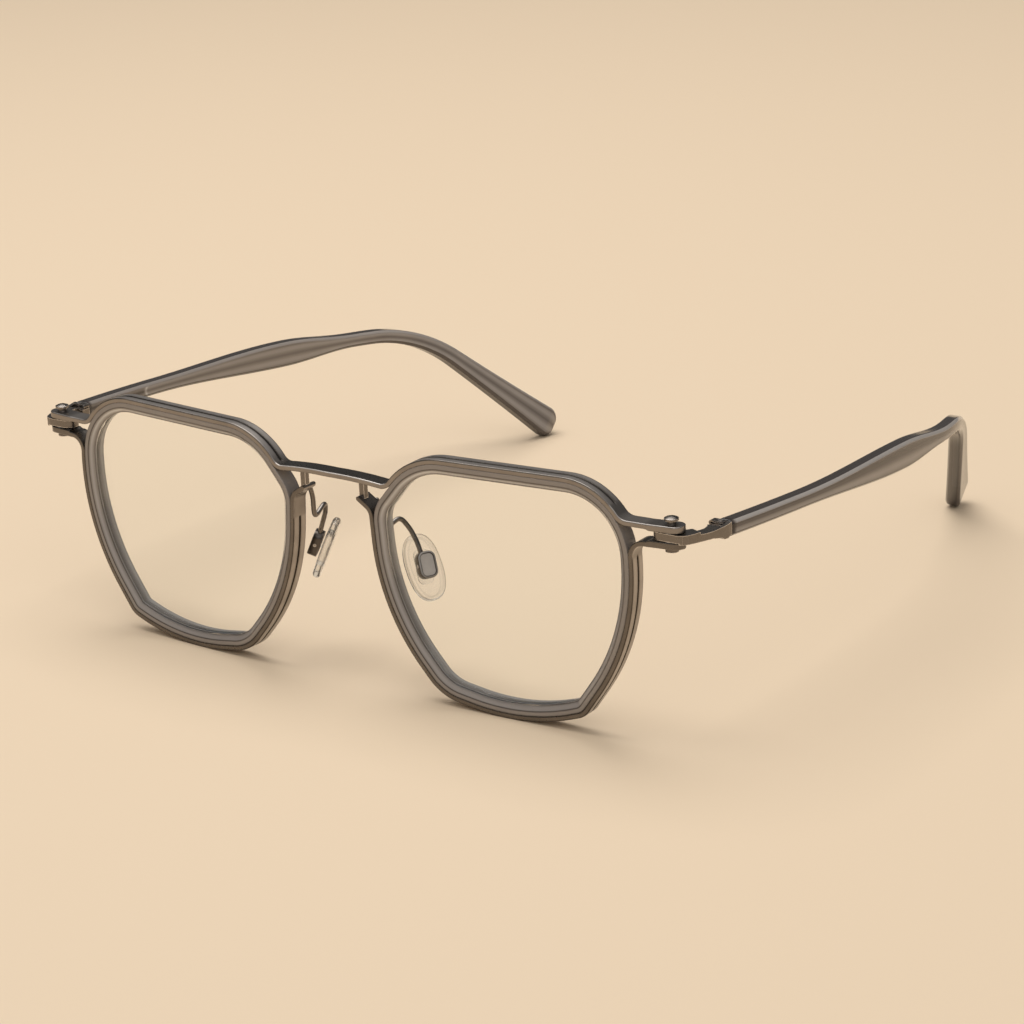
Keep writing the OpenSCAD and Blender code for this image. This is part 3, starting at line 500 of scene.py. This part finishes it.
def rim_painted_light(station, side):
    """Painted light and shade round a rim's section: a slope and throat painted light, lightest along the rim's top
    where they face down, between edges painted dark. Painted shade darkens the rim's edge by the strip on the parts
    that face down or left."""
    n = station[1]
    # Painted shade by the strip, and painted light on the slope and throat, by which way the rim faces
    joint_shade = clamp(0.55 - (0.4 * side * n[0] + n[1]))
    slope, throat = 0.5 + 0.5 * n[1], 0.7 + 0.3 * n[1]
    marks = [((0, 0), 0.16, -1.1 * joint_shade), ((0, RIM_D), 0.16, -1.0), ((SLOPE_W - RIM_W, 0), 0.12, -0.75),
             ((0.55 * SLOPE_W - RIM_W, 0.45 * SLOPE_D), 0.3, slope), ((-RIM_W, SLOPE_D), 0.1, -0.7),
             ((-RIM_W, SLOPE_D + 0.35), 0.3, throat), ((-RIM_W, RIM_D - 0.75), 0.6, throat),
             ((RIM_CHAMFER - RIM_W, RIM_D), 0.14, -1.3)]
    return [marked(p, marks) for p in rim_section]


def ring_at(station, section):
    """A section's points at a station: off along its outward direction, and depth towards the back."""
    p, n = station
    return [(p[0] + n[0] * off, depth, p[1] + n[1] * off) for off, depth in section]


def lens_rings():
    """A lens from the middle of its front, out to the groove and back to the middle of its back."""
    centre = np.array([LENS_PITCH / 2, 0.0])
    reach = (CORNERS[1][0] - CORNERS[7][0]) / 2 - RIM_W
    sag = LENS_CURVE - math.sqrt(LENS_CURVE ** 2 - reach ** 2)
    ball = mid - LENS_T / 2 - sag + LENS_CURVE

    def ring(share, off, face):
        out = []
        for p, n in rim_line:
            q = centre + (p + n * off - centre) * share
            d = q - centre
            front_y = ball - math.sqrt(LENS_CURVE ** 2 - float(d @ d))
            out.append((q[0], {"front": front_y, "back": front_y + LENS_T, "groove": mid}[face], q[1]))
        return out

    shares = np.linspace(0.02, 1, 22)
    edge = -RIM_W - LENS_FIT
    return ([ring(s, edge, "front") for s in shares] + [ring(1, -RIM_W + GROOVE_D * 0.4, "groove")]
            + [ring(s, edge, "back") for s in shares[::-1]])


# ---------------------------------------------------------------- metal strips
def strip_section(low, high, d0, d1, groove):
    """Section of a strip from off low to high and depth d0 to d1. groove, from 0 to 1, is how deep the engraved line
    in its outer face is there."""
    m, w = (d0 + d1) / 2, min(LINE_W / 2, (d1 - d0) / 5)
    g = high - LINE_D * groove
    pts = [(high, d0), (high, m - w), (g, m - w * 0.7), (g, m + w * 0.7), (high, m + w), (high, d1), (low, d1),
           (low, d0)]
    out = []
    for i, p in enumerate(fillet(pts, STRIP_CUTS, 3)):
        out.append(p)
        if i % 4 == 3:
            q = fillet_start(pts, i // 4)
            out += [p + (q - p) * t for t in (0.06, 0.2, 0.5, 0.8, 0.94)]
    return out


def fillet_start(pts, i):
    """Where the rounding of the next corner starts."""
    after = (i + 1) % len(pts)
    v, w = np.asarray(pts[i], float), np.asarray(pts[after], float)
    d = np.linalg.norm(w - v)
    return w + (v - w) * min(STRIP_CUTS[after] / d, 0.45)


def strip_painted_light(section, low, high, d0, d1, groove, front, painted_reflection):
    """Painted light and shade round a strip's section. On a rim its outer face is light, with painted shade in the
    engraved line and along the edges. Its share of painted reflection is 1 on the bridge, where that face is painted
    dark with a painted highlight on its edge. front is the tone of every other face."""
    m = (d0 + d1) / 2
    marks = [((high, m), 0.24, -2.2 * groove), ((high, d0), 0.13, 1.5 * abs(painted_reflection) - groove),
             ((high, d1), 0.16, -0.9), ((low, d0), 0.12, -0.4), ((low, d1), 0.16, -0.8)]
    outer = 0.3 + 0.25 * groove - 0.62 * painted_reflection
    return [(outer if p[0] > high - 0.08 else front) + marked(p, marks) for p in section]


def lug_depths(x):
    """Depth range of a lug at x, in front of and behind the screw."""
    cx = lug_end - LUG_R
    if x <= cx:
        t = max(0.0, (x - lug_from) / (cx - lug_from))
        return t * (HINGE_Y - LUG_R), RIM_D + t * (HINGE_Y + LUG_R - RIM_D)
    half = max(0.05, math.sqrt(max(0.0, LUG_R ** 2 - (x - cx) ** 2)))
    return HINGE_Y - half, HINGE_Y + half


def lug_stations(z, side):
    """Stations (point, outward, inner edge, depths) from the lug's root to its round end."""
    cx = lug_end - LUG_R
    xs = list(np.linspace(lug_from - 0.4, lug_from + 0.9, 6)) + list(np.linspace(lug_from + 1.2, cx, 6))
    xs += [cx + LUG_R * sin(a) for a in np.linspace(6, 89, 14)]
    out = []
    for x in xs:
        t = clamp((x - lug_from) / 0.8)
        low = -(LUG_T - STRIP_T) * t * t * (3 - 2 * t)
        out.append((np.array([x, z]), np.array([0.0, side]), low, lug_depths(x)))
    return out


def strip_rings(plain, groove_from, groove_to, front, painted_reflection, before=(), after=()):
    """Rings and tones along a strip: plain stations, engraved between the lengths that groove_from and groove_to read
    from the stations' lengths, and before or after them stations with a size of their own."""
    pts = np.array([p for p, _ in plain])
    length = np.concatenate([[0], np.cumsum(np.linalg.norm(np.diff(pts, axis=0), axis=1))])
    rings, tones = [], []

    def put(station, *size):
        section = strip_section(*size)
        rings.append(ring_at(station, section))
        tones.append(strip_painted_light(section, *size, front, painted_reflection(station[0])))

    for p, n, low, depths in before:
        put((p, n), low, STRIP_T, *depths, 0)
    for s, station in zip(length, plain):
        g = clamp(min(s - groove_from(length), groove_to(length) - s) / 0.35)
        put(station, 0, STRIP_T, 0, RIM_D, g)
    for p, n, low, depths in after:
        put((p, n), low, STRIP_T, *depths, 0)
    return rings, tones


def lug_painted_reflection(point):
    """A lug's share of painted reflection, below 0 in the hollow bend before its root, where a painted highlight makes
    it light.
    """
    x = point[0] - lug_from
    return 0.12 * clamp((x + 0.5) / 1.5) - 0.7 * hump(x + 1.8, 1.2)


def length_at(stations, point, length):
    """The length at the station that is nearest to point."""
    return length[int(np.argmin([np.linalg.norm(p - point) for p, _ in stations]))]


def brow_rings():
    """The right half of the brow bar, from the middle of the bridge to the lug."""
    span = wrap_x - BRIDGE_FLAT
    stations = []
    for x in np.linspace(0, wrap_x, 20)[:-1]:
        z = BRIDGE_H + BRIDGE_RISE * (1 - (max(0.0, x - BRIDGE_FLAT) / span) ** 2)
        stations.append((np.array([x, z]), np.array([0.0, 1.0])))
    stations += bend(bridge_centre, BRIDGE_BEND, -90, -90 + 2 * bend_half, 12, -1)
    first = len(stations)
    stations += corner_bend(0, 20) + bend(side_centre, side_r, start_angle(1), upper_leave, 14, 1)
    last = len(stations) - 1
    stations += bend(upper_turn, LUG_BEND, 180 + upper_leave, 270, 10, -1)[1:]
    start, stop = stations[first][0], stations[last][0]
    stations = [s for s in close_steps(stations, STRIP_STEP) if s[0][0] < lug_from - 0.5 or s[0][1] > HINGE_H + 8]

    # Share of painted reflection: 1 on the bridge, whose top is painted dark with a painted highlight on its edge, and
    # the lug's share near the lug
    def painted_reflection(point):
        return lug_painted_reflection(point) + clamp((start[0] + 0.5 - point[0]) / 1.5)

    return strip_rings(stations, lambda length: length_at(stations, start, length) - 1.2,
                       lambda length: length_at(stations, stop, length) - 1.6, BROW_FRONT_TONE, painted_reflection,
                       after=lug_stations(upper_lug_z, 1))


def band_rings():
    """The lower band, from the lug round the rim to the hook."""
    stations = bend(lower_turn, LUG_BEND, 90, 180 + lower_leave, 10, -1)
    first = len(stations)
    for i in range(2, CORNER_N - 1):
        stations += corner_bend(i, 16)
    last = corner(CORNER_N - 1) - nose_side * (corner(CORNER_N - 1)[1] - HOOK_H + 3)
    stations += bend(hook_centre, HOOK_BEND, hook_a, hook_a + HOOK_TURN, 12, -1)
    start = stations[first][0]
    out = stations[-1][1]
    along = direction(hook_a + HOOK_TURN + 90)
    stations.append((stations[-1][0] + along * HOOK_LEN, out))
    stations = [s for s in close_steps(stations, STRIP_STEP) if s[0][0] < lug_from - 0.5 or s[0][1] < HINGE_H - 8]
    end = stations[-1][0]
    cap = []
    for a in np.linspace(10, 86, 8):
        half = STRIP_T / 2 * cos(a)
        cap.append((end + along * STRIP_T / 2 * sin(a), out, STRIP_T / 2 - half, STRIP_T / 2 + half))
    rings, tones = strip_rings(stations, lambda length: length_at(stations, start, length) - 1.4,
                               lambda length: length_at(stations, last, length), BAND_FRONT_TONE, lug_painted_reflection,
                               before=lug_stations(lower_lug_z, -1)[::-1])
    for p, n, low, high in cap:
        section = strip_section(low, high, 0, RIM_D, 0)
        rings.append(ring_at((p, n), section))
        tones.append(strip_painted_light(section, low, high, 0, RIM_D, 0, BAND_FRONT_TONE, 0))
    return rings, tones


# ---------------------------------------------------------------- temples
arm_top = HINGE_H + TANG_T / 2 - (ARM_LEN + ARM_GAP) * math.tan(math.radians(TEMPLE_SLOPE)) / 4
front = np.array([screw_x + TEMPLE_OUT, screw_y + ARM_LEN + ARM_GAP, arm_top - FRONT_H / 2])
start_tan = math.tan(math.radians(TEMPLE_SLOPE))
bend_from = math.degrees(math.atan(start_tan + 2 * TEMPLE_DROP / BEND_AT))
bend_len = BEND_R * math.radians(BEND_ANGLE)
temple_len = BEND_AT + bend_len + TIP_LEN
turn_from, tip_round = BEND_AT - TURN_BEFORE, TIP_H * 0.4
bow_slope = math.tan(math.radians(BOW_TURN))
slope_before = bow_slope - turn_from / HUG_R
slope_after = -math.tan(math.radians(EAR_TURN))


def heading(s):
    """The temple's slope in degrees at length s."""
    if s < BEND_AT:
        return -math.degrees(math.atan(start_tan + 2 * TEMPLE_DROP * s / BEND_AT ** 2))
    return -bend_from - BEND_ANGLE * min(1.0, (s - BEND_AT) / bend_len)


def side_step(s):
    """How far outward the temple stands at length s."""
    d, more, near = min(TURN_LEN, max(0.0, s - turn_from)), max(0.0, s - turn_from - TURN_LEN), min(s, turn_from)
    return (bow_slope * near - near * near / (2 * HUG_R) + slope_before * d
            + (slope_after - slope_before) * d * d / (2 * TURN_LEN) + slope_after * more)


def side_slope(s):
    if s < turn_from:
        return bow_slope - s / HUG_R
    return slope_before + (slope_after - slope_before) * min(1.0, (s - turn_from) / TURN_LEN)


def side_path(s):
    """The temple's line at length s, seen from its side: backward and upward."""
    if s < BEND_AT:
        return np.array([s, -s * start_tan - TEMPLE_DROP * (s / BEND_AT) ** 2])
    root = np.array([BEND_AT, -BEND_AT * start_tan - TEMPLE_DROP])
    centre = root + BEND_R * direction(-bend_from - 90)
    return centre + BEND_R * direction(heading(s) + 90) + max(0.0, s - BEND_AT - bend_len) * direction(heading(s))


def eased(a, b, s, s0, s1):
    return a + (b - a) * (1 - cos(180 * clamp((s - s0) / (s1 - s0)))) / 2


def temple_h(s):
    if s < BLADE_AT:
        return eased(FRONT_H, BLADE_H, s, SWELL_AT, BLADE_AT)
    if s < NECK_AT:
        return eased(BLADE_H, NECK_H, s, BLADE_AT, NECK_AT)
    return NECK_H + (TIP_H - NECK_H) * (max(0.0, s - NECK_AT - 4) / (temple_len - NECK_AT - 4)) ** 1.9


def refined_by(points, steps):
    """A closed, filleted polygon with its sides, each after four rounding points, cut into more steps."""
    out = []
    for i, p in enumerate(points):
        q = points[(i + 1) % len(points)]
        parts = 2 * steps if i % 4 == 3 else 1
        out += [p + (q - p) * t / parts for t in range(parts)]
    return out


def temple_painted_light_and_core(section, s, a, b, c):
    """Painted light and shade round a temple's section: the top painted dark with a painted highlight on its outer
    edge, painted shade along the bottom, the edges and the front end, and on the sides the dark streak of the core
    between lighter bands, darker towards the tail."""
    def near(z, place, reach):
        return hump(z / b - place, reach)

    tail = clamp((s - NECK_AT) / 12)
    out = []
    for x, z in section:
        if abs(x) < a - 1.05 * c:
            tone = -0.8 if z > 0 else -0.5 - 0.3 * tail * (1 + x / a)
        elif abs(x) < a - 0.01:
            tone = (0.35 if x > 0 else 0.1) if z > 0 else -0.6
        elif x > 0:
            tone = -0.1 - 0.45 * near(z, 0.5, 0.35) - 0.25 * near(z, 0.1, 0.12) - 0.4 * near(z, -0.95, 0.15)
            tone += 0.3 * near(z, -0.4, 0.3) - 0.3 * tail
        else:
            tone = 0.25 - 0.7 * near(z, 0.85, 0.2) - 0.55 * near(z, 0.0, 0.25) - 0.6 * near(z, -0.9, 0.2)
            tone -= 0.35 * clamp((CORE_END + 0.9 - s) / 2)
            tone += 0.8 * hump(s - CORE_END - 1.2 * (z / b) ** 2, 0.35)
        # The front end face is painted dark as shade
        out.append(tone if s > 0.15 else -1.0)
    return out


def temple_rings():
    """Rings and tones along a temple, with its bevels and its rounded tip. They stand closer round the core's end."""
    body = list(np.linspace(0.12, temple_len - tip_round, TEMPLE_STATIONS))
    steps = [0.0, 0.04] + body[:14] + list(np.linspace(CORE_END - 1.4, CORE_END + 1.5, 16)) + body[16:]
    steps += [temple_len - tip_round * (1 - sin(a)) for a in (15, 30, 45, 58, 70, 80, 86, 89.5)]
    rings, tones = [], []
    for s in steps:
        d = (s - (temple_len - tip_round)) / tip_round
        close = 1.0 if d <= 0 else math.sqrt(max(0.0005, 1 - d * d))
        front_cut = 0.1 * (1 - min(1.0, s / 0.12)) ** 2
        a, b = TEMPLE_T / 2 * close - front_cut, temple_h(s) / 2 * close - front_cut
        c = TEMPLE_BEVEL * min(1.0, close * 1.1)
        c = min(c, 0.6 * a, 0.6 * b)
        section = refined_by(fillet([(a - c, b), (a, b - c), (a, c - b), (a - c, -b), (c - a, -b), (-a, c - b),
                                     (-a, b - c), (c - a, b)], [c * TEMPLE_CUT] * 8, 3), 4)
        y, z = side_path(s)
        p = front + np.array([side_step(s), y, z])
        up = np.array([0, -sin(heading(s)), cos(heading(s))])
        out = unit(np.cross(unit([side_slope(s), cos(heading(s)), sin(heading(s))]), up))
        rings.append([p + out * q[0] + up * q[1] for q in section])
        tones.append(temple_painted_light_and_core(section, s, a, b, c))
    return rings, tones


# ---------------------------------------------------------------- nose pads and their arms
def turn_z(a):
    return np.array([[cos(a), -sin(a), 0], [sin(a), cos(a), 0], [0, 0, 1]])


def turn_x(a):
    return np.array([[1, 0, 0], [0, cos(a), -sin(a)], [0, sin(a), cos(a)]])


box_turn = turn_z(PAD_SPLAY) @ turn_x(-PAD_LEAN)
box_at = np.array([BOX_PITCH / 2, BOX_Y, BOX_Z])


def at_box(p):
    """Points given from the middle of a pad's box (across it, towards its pad, up), in the upright frame."""
    return np.asarray(p, float) @ box_turn.T + box_at


def pad_rings():
    """A pad from the middle of the face by its box to the middle of the face by the nose."""
    pad_y = BOX_T / 2 + PAD_GAP

    def oval(inset):
        out = []
        for a in np.arange(0, 360, 5):
            c, d = cos(a), sin(a)
            x = (PAD_W / 2 - inset) * math.copysign(abs(c) ** PAD_POWER, c)
            z = (PAD_H / 2 - inset) * math.copysign(abs(d) ** PAD_POWER, d)
            out.append((x * cos(PAD_TURN) - z * sin(PAD_TURN), x * sin(PAD_TURN) + z * cos(PAD_TURN)))
        return out

    # (inset from the pad's outline, place through its thickness)
    profile = [(3.2, 0.10), (2.4, 0.06), (1.4, 0.03), (1.05, 0.02), (0.8, 0.02), (0.6, 0.04), (0.42, 0.10),
               (0.15, 0.28), (0.03, 0.52), (0.0, 0.8), (0.03, 1.08), (0.15, 1.32), (0.42, 1.5), (0.6, 1.56),
               (0.8, 1.58), (1.05, 1.58), (1.4, 1.57), (2.4, 1.54), (3.2, 1.50)]
    rings = [[at_box((PAD_BACK + x, pad_y + y, z - PAD_DROP)) for x, z in oval(inset)] for inset, y in profile]
    # Painted shade: dark rings round the pad's rounded edge, standing in for the dark rim that refraction gives clear
    # silicone
    tones = [-0.9 * hump(inset - 0.15, 0.1) - 0.4 * hump(inset - 0.8, 0.15) for inset, _ in profile]
    return rings, [[tone] * len(rings[0]) for tone in tones]


def box_rings():
    """A pad's box, from the middle of its set-in outer face round its lip and sides into the hollow."""
    def outline(grow, r, y):
        w, h, pts = BOX_W / 2 + grow, BOX_H / 2 + grow, []
        for cx, cz, a0 in ((w - r, h - r, 0), (r - w, h - r, 90), (r - w, r - h, 180), (w - r, r - h, 270)):
            pts += [(cx + r * cos(a), y, cz + r * sin(a)) for a in np.linspace(a0, a0 + 90, 9)]
        return at_box(pts)

    out_y, floor_y = -BOX_T / 2, FACE_IN + FACE_T - BOX_T / 2
    # (growth from the box's outline, corner radius, depth, tone: painted light and shade, a light face, a painted
    # highlight on the lip, painted shade round the recess and in the hollow)
    rows = [(-1.5, 0.15, out_y + FACE_IN, 1.0), (-BOX_WALL - 0.1, 0.8, out_y + FACE_IN, 0.95),
            (-BOX_WALL - 0.02, 0.8, out_y + FACE_IN, -0.5), (-BOX_WALL, 0.8, out_y + 0.06, -0.7),
            (-BOX_WALL + 0.06, 0.95, out_y, 0.5), (-0.16, 1.15, out_y, 0.8), (-0.05, 1.25, out_y + 0.05, 0.2),
            (0, 1.3, out_y + 0.16, -0.5), (0, 1.3, 0, -0.2), (0, 1.3, BOX_T / 2 - 0.12, -0.3),
            (-0.05, 1.25, BOX_T / 2 - 0.04, 0.3), (-0.12, 1.15, BOX_T / 2, 0.4), (-BOX_WALL, 0.8, BOX_T / 2, -0.4),
            (-BOX_WALL, 0.8, floor_y, -0.6), (-1.5, 0.15, floor_y, -0.6)]
    rings = [outline(grow, r, y) for grow, r, y, _ in rows]
    return rings, [[row[3]] * len(rings[0]) for row in rows]


def arm_rings():
    """A round wire from the back of the hook to the top of the pad's box, on a smooth curve through the route."""
    root = np.array([hook_root[0] - STRIP_T - 0.9, RIM_D + WIRE_R - 0.28, HOOK_H + 1.9])
    foot = at_box([-0.6, 0, BOX_H / 2])
    # Steps from the root in the hook, then from the foot in the box. The first and last only steer the curve
    route = [root + (0, -1, 1), root, root + (0.2, 0.9, -2.2), root + (0.25, 1.33, -5.68), root + (0.9, 4.73, -4.8),
             foot + (-2.05, -0.56, 4.64), foot + (-0.9, -0.05, 2.24), foot, foot + (0.7, 0, -2)]
    path = []
    for i in range(1, len(route) - 2):
        p0, p1, p2, p3 = route[i - 1:i + 3]
        for t in np.arange(12) / 12:
            path.append((2 * p1 + (p2 - p0) * t + (2 * p0 - 5 * p1 + 4 * p2 - p3) * t * t
                         + (3 * p1 - p0 - 3 * p2 + p3) * t ** 3) / 2)
    path.append(foot + (0.1, 0, -0.28))
    rings, side = [], None
    for i, p in enumerate(path):
        d = unit(path[min(i + 1, len(path) - 1)] - path[max(i - 1, 0)])
        a = unit(np.cross(d, [1, 0.2, 0])) if side is None else unit(side - d * float(side @ d))
        side = a
        b = np.cross(d, a)
        rings.append([p + WIRE_R * (a * sin(q) + b * cos(q)) for q in range(0, 360, 20)])
    d = unit(path[1] - path[0])
    cap = [path[0] - d * WIRE_R * sin(t) + (np.array(rings[0]) - path[0]) * cos(t) for t in (82, 60, 40, 20)]
    return [c.tolist() for c in cap] + rings


# ---------------------------------------------------------------- the pieces, both sides
rim = [ring_at(s, rim_section) for s in rim_line]
lens, wire = lens_rings(), arm_rings()
(band, band_tones), (temple, temple_tones) = band_rings(), temple_rings()
(box, box_tones), (pad, pad_tones) = box_rings(), pad_rings()
for name, side in (("left", -1), ("right", 1)):
    make(name + "_rim_skin", wrapped(rim), side, "front", [name + "_rim"], rim_acetate, loop_end=True,
         tone=[rim_painted_light(s, side) for s in rim_line])
    make(name + "_lens_skin", wrapped(lens), side, "front", [name + "_lens"], glass)
    make(name + "_band_skin", wrapped(band), side, "front", [name + "_lower_band"], metal,
         tone=band_tones)
    make(name + "_wire_skin", wire, side, "front", [name + "_pad_arm"], metal)
    make(name + "_pad_skin", pad, side, name + "_pad", [name + "_nose_pad"], soft_clear, tone=pad_tones)
    make(name + "_temple_skin", temple, side, name + "_arm", [name + "_temple"],
         temple_acetate, tone=temple_tones)
    make(name + "_box_skin", box, side, "front", [name + "_pad_box"], dark_metal, tone=box_tones)
brow, brow_tones = brow_rings()
half_bar, half_tones = wrapped(brow), np.array(brow_tones)
other = half_bar[1:][::-1] * np.array([-1, 1, 1])
half_bar[0][:, 0] = 0
make("brow_bar_skin", np.concatenate([other, half_bar]), 1, "front", ["brow_bar"], metal,
     tone=np.concatenate([half_tones[1:][::-1], half_tones]))

# ---------------------------------------------------------------- CAD nodes that stay
SOFT_EDGES = {"bridge_post": 0.12, "pad_plate": 0.08, "hinge_screw": 0.12, "hinge_nut": 0.12,
              "hinge_washers": 0.03, "temple_arm": 0.14, "temple_clip": 0.06, "clip_rivet": 0.05, "temple_core": 0.08,
              "pad_pin": 0.05}
slot_of = {s["node"]: s["material_slot"] for s in frame["record"]["subparts"]}
for node, obj in frame["nodes"].items():
    if obj.hide_render:
        continue
    obj.data.materials.clear()
    obj.data.materials.append(SLOT_MATERIALS[slot_of[node]])
    edge = obj.modifiers.new("soft_edge", "BEVEL")
    edge.width = SOFT_EDGES[node.split("_", 1)[1]] / 1000
    edge.segments = 3
    edge.limit_method = "ANGLE"
    edge.angle_limit = math.radians(SHARP_ANGLE)
    smooth_normals(obj)

# ---------------------------------------------------------------- floor, light and camera
FLOOR_REACH = 1.6
FLOOR_COLOUR, BACKDROP_COLOUR, SKY_COLOUR = (0.79, 0.628, 0.45, 1), (0.72, 0.62, 0.49, 1), (1.0, 0.98, 0.955, 1)
floor_mesh = bpy.data.meshes.new("floor")
floor_points = [(x * FLOOR_REACH, y * FLOOR_REACH, 0) for x, y in ((-1, -1), (1, -1), (1, 1), (-1, 1))]
floor_mesh.from_pydata(floor_points, [], [(0, 1, 2, 3)])
floor = bpy.data.objects.new("floor", floor_mesh)
bpy.context.scene.collection.objects.link(floor)
floor.location.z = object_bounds()[0].z
floor_mesh.materials.append(material("pale_floor", Roughness=0.7, Base_Color=FLOOR_COLOUR)[0])


def lamp(name, place, aim, size, power, colour=(1, 1, 1)):
    light = bpy.data.lights.new(name, "AREA")
    light.shape = "DISK"
    light.size, light.energy, light.color = size, power, colour
    obj = bpy.data.objects.new(name, light)
    bpy.context.scene.collection.objects.link(obj)
    obj.location = place
    obj.rotation_mode = "QUATERNION"
    obj.rotation_quaternion = (Vector(aim) - Vector(place)).to_track_quat("-Z", "Y")


lamp("key", (-0.3, 0.1, 1.1), (0, 0, 0.02), 1.1, 9.1, (1, 0.98, 0.95))
lamp("fill", (0.7, -0.6, 0.9), (0, 0, 0.02), 0.9, 1.5)
world = bpy.data.worlds.new("studio")
bpy.context.scene.world = world
world.use_nodes = True
sky, join = world.node_tree.nodes, world.node_tree.links.new
# A wide soft light overhead and in front, and a darker room towards the back
ahead, rise = sky.new("ShaderNodeVectorMath"), sky.new("ShaderNodeMapRange")
facing = sky.new("ShaderNodeTexCoord")
ahead.operation = "DOT_PRODUCT"
ahead.inputs[1].default_value = (0.138, -0.368, 0.92)
rise.interpolation_type = "SMOOTHSTEP"
rise.inputs["From Min"].default_value, rise.inputs["From Max"].default_value = 0.1, 0.95
rise.inputs["To Min"].default_value, rise.inputs["To Max"].default_value = 0.1, 0.7
join(facing.outputs["Generated"], ahead.inputs[0])
join(ahead.outputs["Value"], rise.inputs["Value"])
join(rise.outputs["Result"], sky["Background"].inputs["Strength"])
# Seen straight or through glass, it is a pale backdrop
pale, path = sky.new("ShaderNodeBackground"), sky.new("ShaderNodeLightPath")
seen, either = sky.new("ShaderNodeMixShader"), sky.new("ShaderNodeMath")
pale.inputs["Color"].default_value = BACKDROP_COLOUR
either.operation = "MAXIMUM"
join(path.outputs["Is Camera Ray"], either.inputs[0])
join(path.outputs["Is Transmission Ray"], either.inputs[1])
join(either.outputs["Value"], seen.inputs["Fac"])
join(sky["Background"].outputs["Background"], seen.inputs[1])
join(pale.outputs["Background"], seen.inputs[2])
join(seen.outputs["Shader"], sky["World Output"].inputs["Surface"])
sky["Background"].inputs["Color"].default_value = SKY_COLOUR

# The camera was fitted to the photograph in the upright frame
FOCAL_PX, IMAGE_PX, SENSOR_MM = 3163.0, 1024.0, 36.0
CAM_TURN, CAM_UP, CAM_ROLL = 36.41, 18.63, -2.525
CAM_AT = np.array([339.97, -407.33, 187.21])
back = np.array([sin(CAM_TURN) * cos(CAM_UP), -cos(CAM_TURN) * cos(CAM_UP), sin(CAM_UP)])
right = np.array([cos(CAM_TURN), sin(CAM_TURN), 0])
up = np.cross(back, right)
axes = np.stack([cos(CAM_ROLL) * right + sin(CAM_ROLL) * up, cos(CAM_ROLL) * up - sin(CAM_ROLL) * right, back], -1)
camera = bpy.data.objects.new("camera", bpy.data.cameras.new("camera"))
bpy.context.scene.collection.objects.link(camera)
camera.data.sensor_width = SENSOR_MM
camera.data.lens = FOCAL_PX * SENSOR_MM / IMAGE_PX
camera.data.clip_start, camera.data.clip_end = 0.01, 20
turned = np.eye(4)
turned[:3, :3] = lean_turn @ axes
turned[:3, 3] = placed(CAM_AT)
camera.matrix_world = Matrix(turned.tolist())
bpy.context.scene.camera = camera
bpy.context.scene.view_settings.view_transform = "Standard"
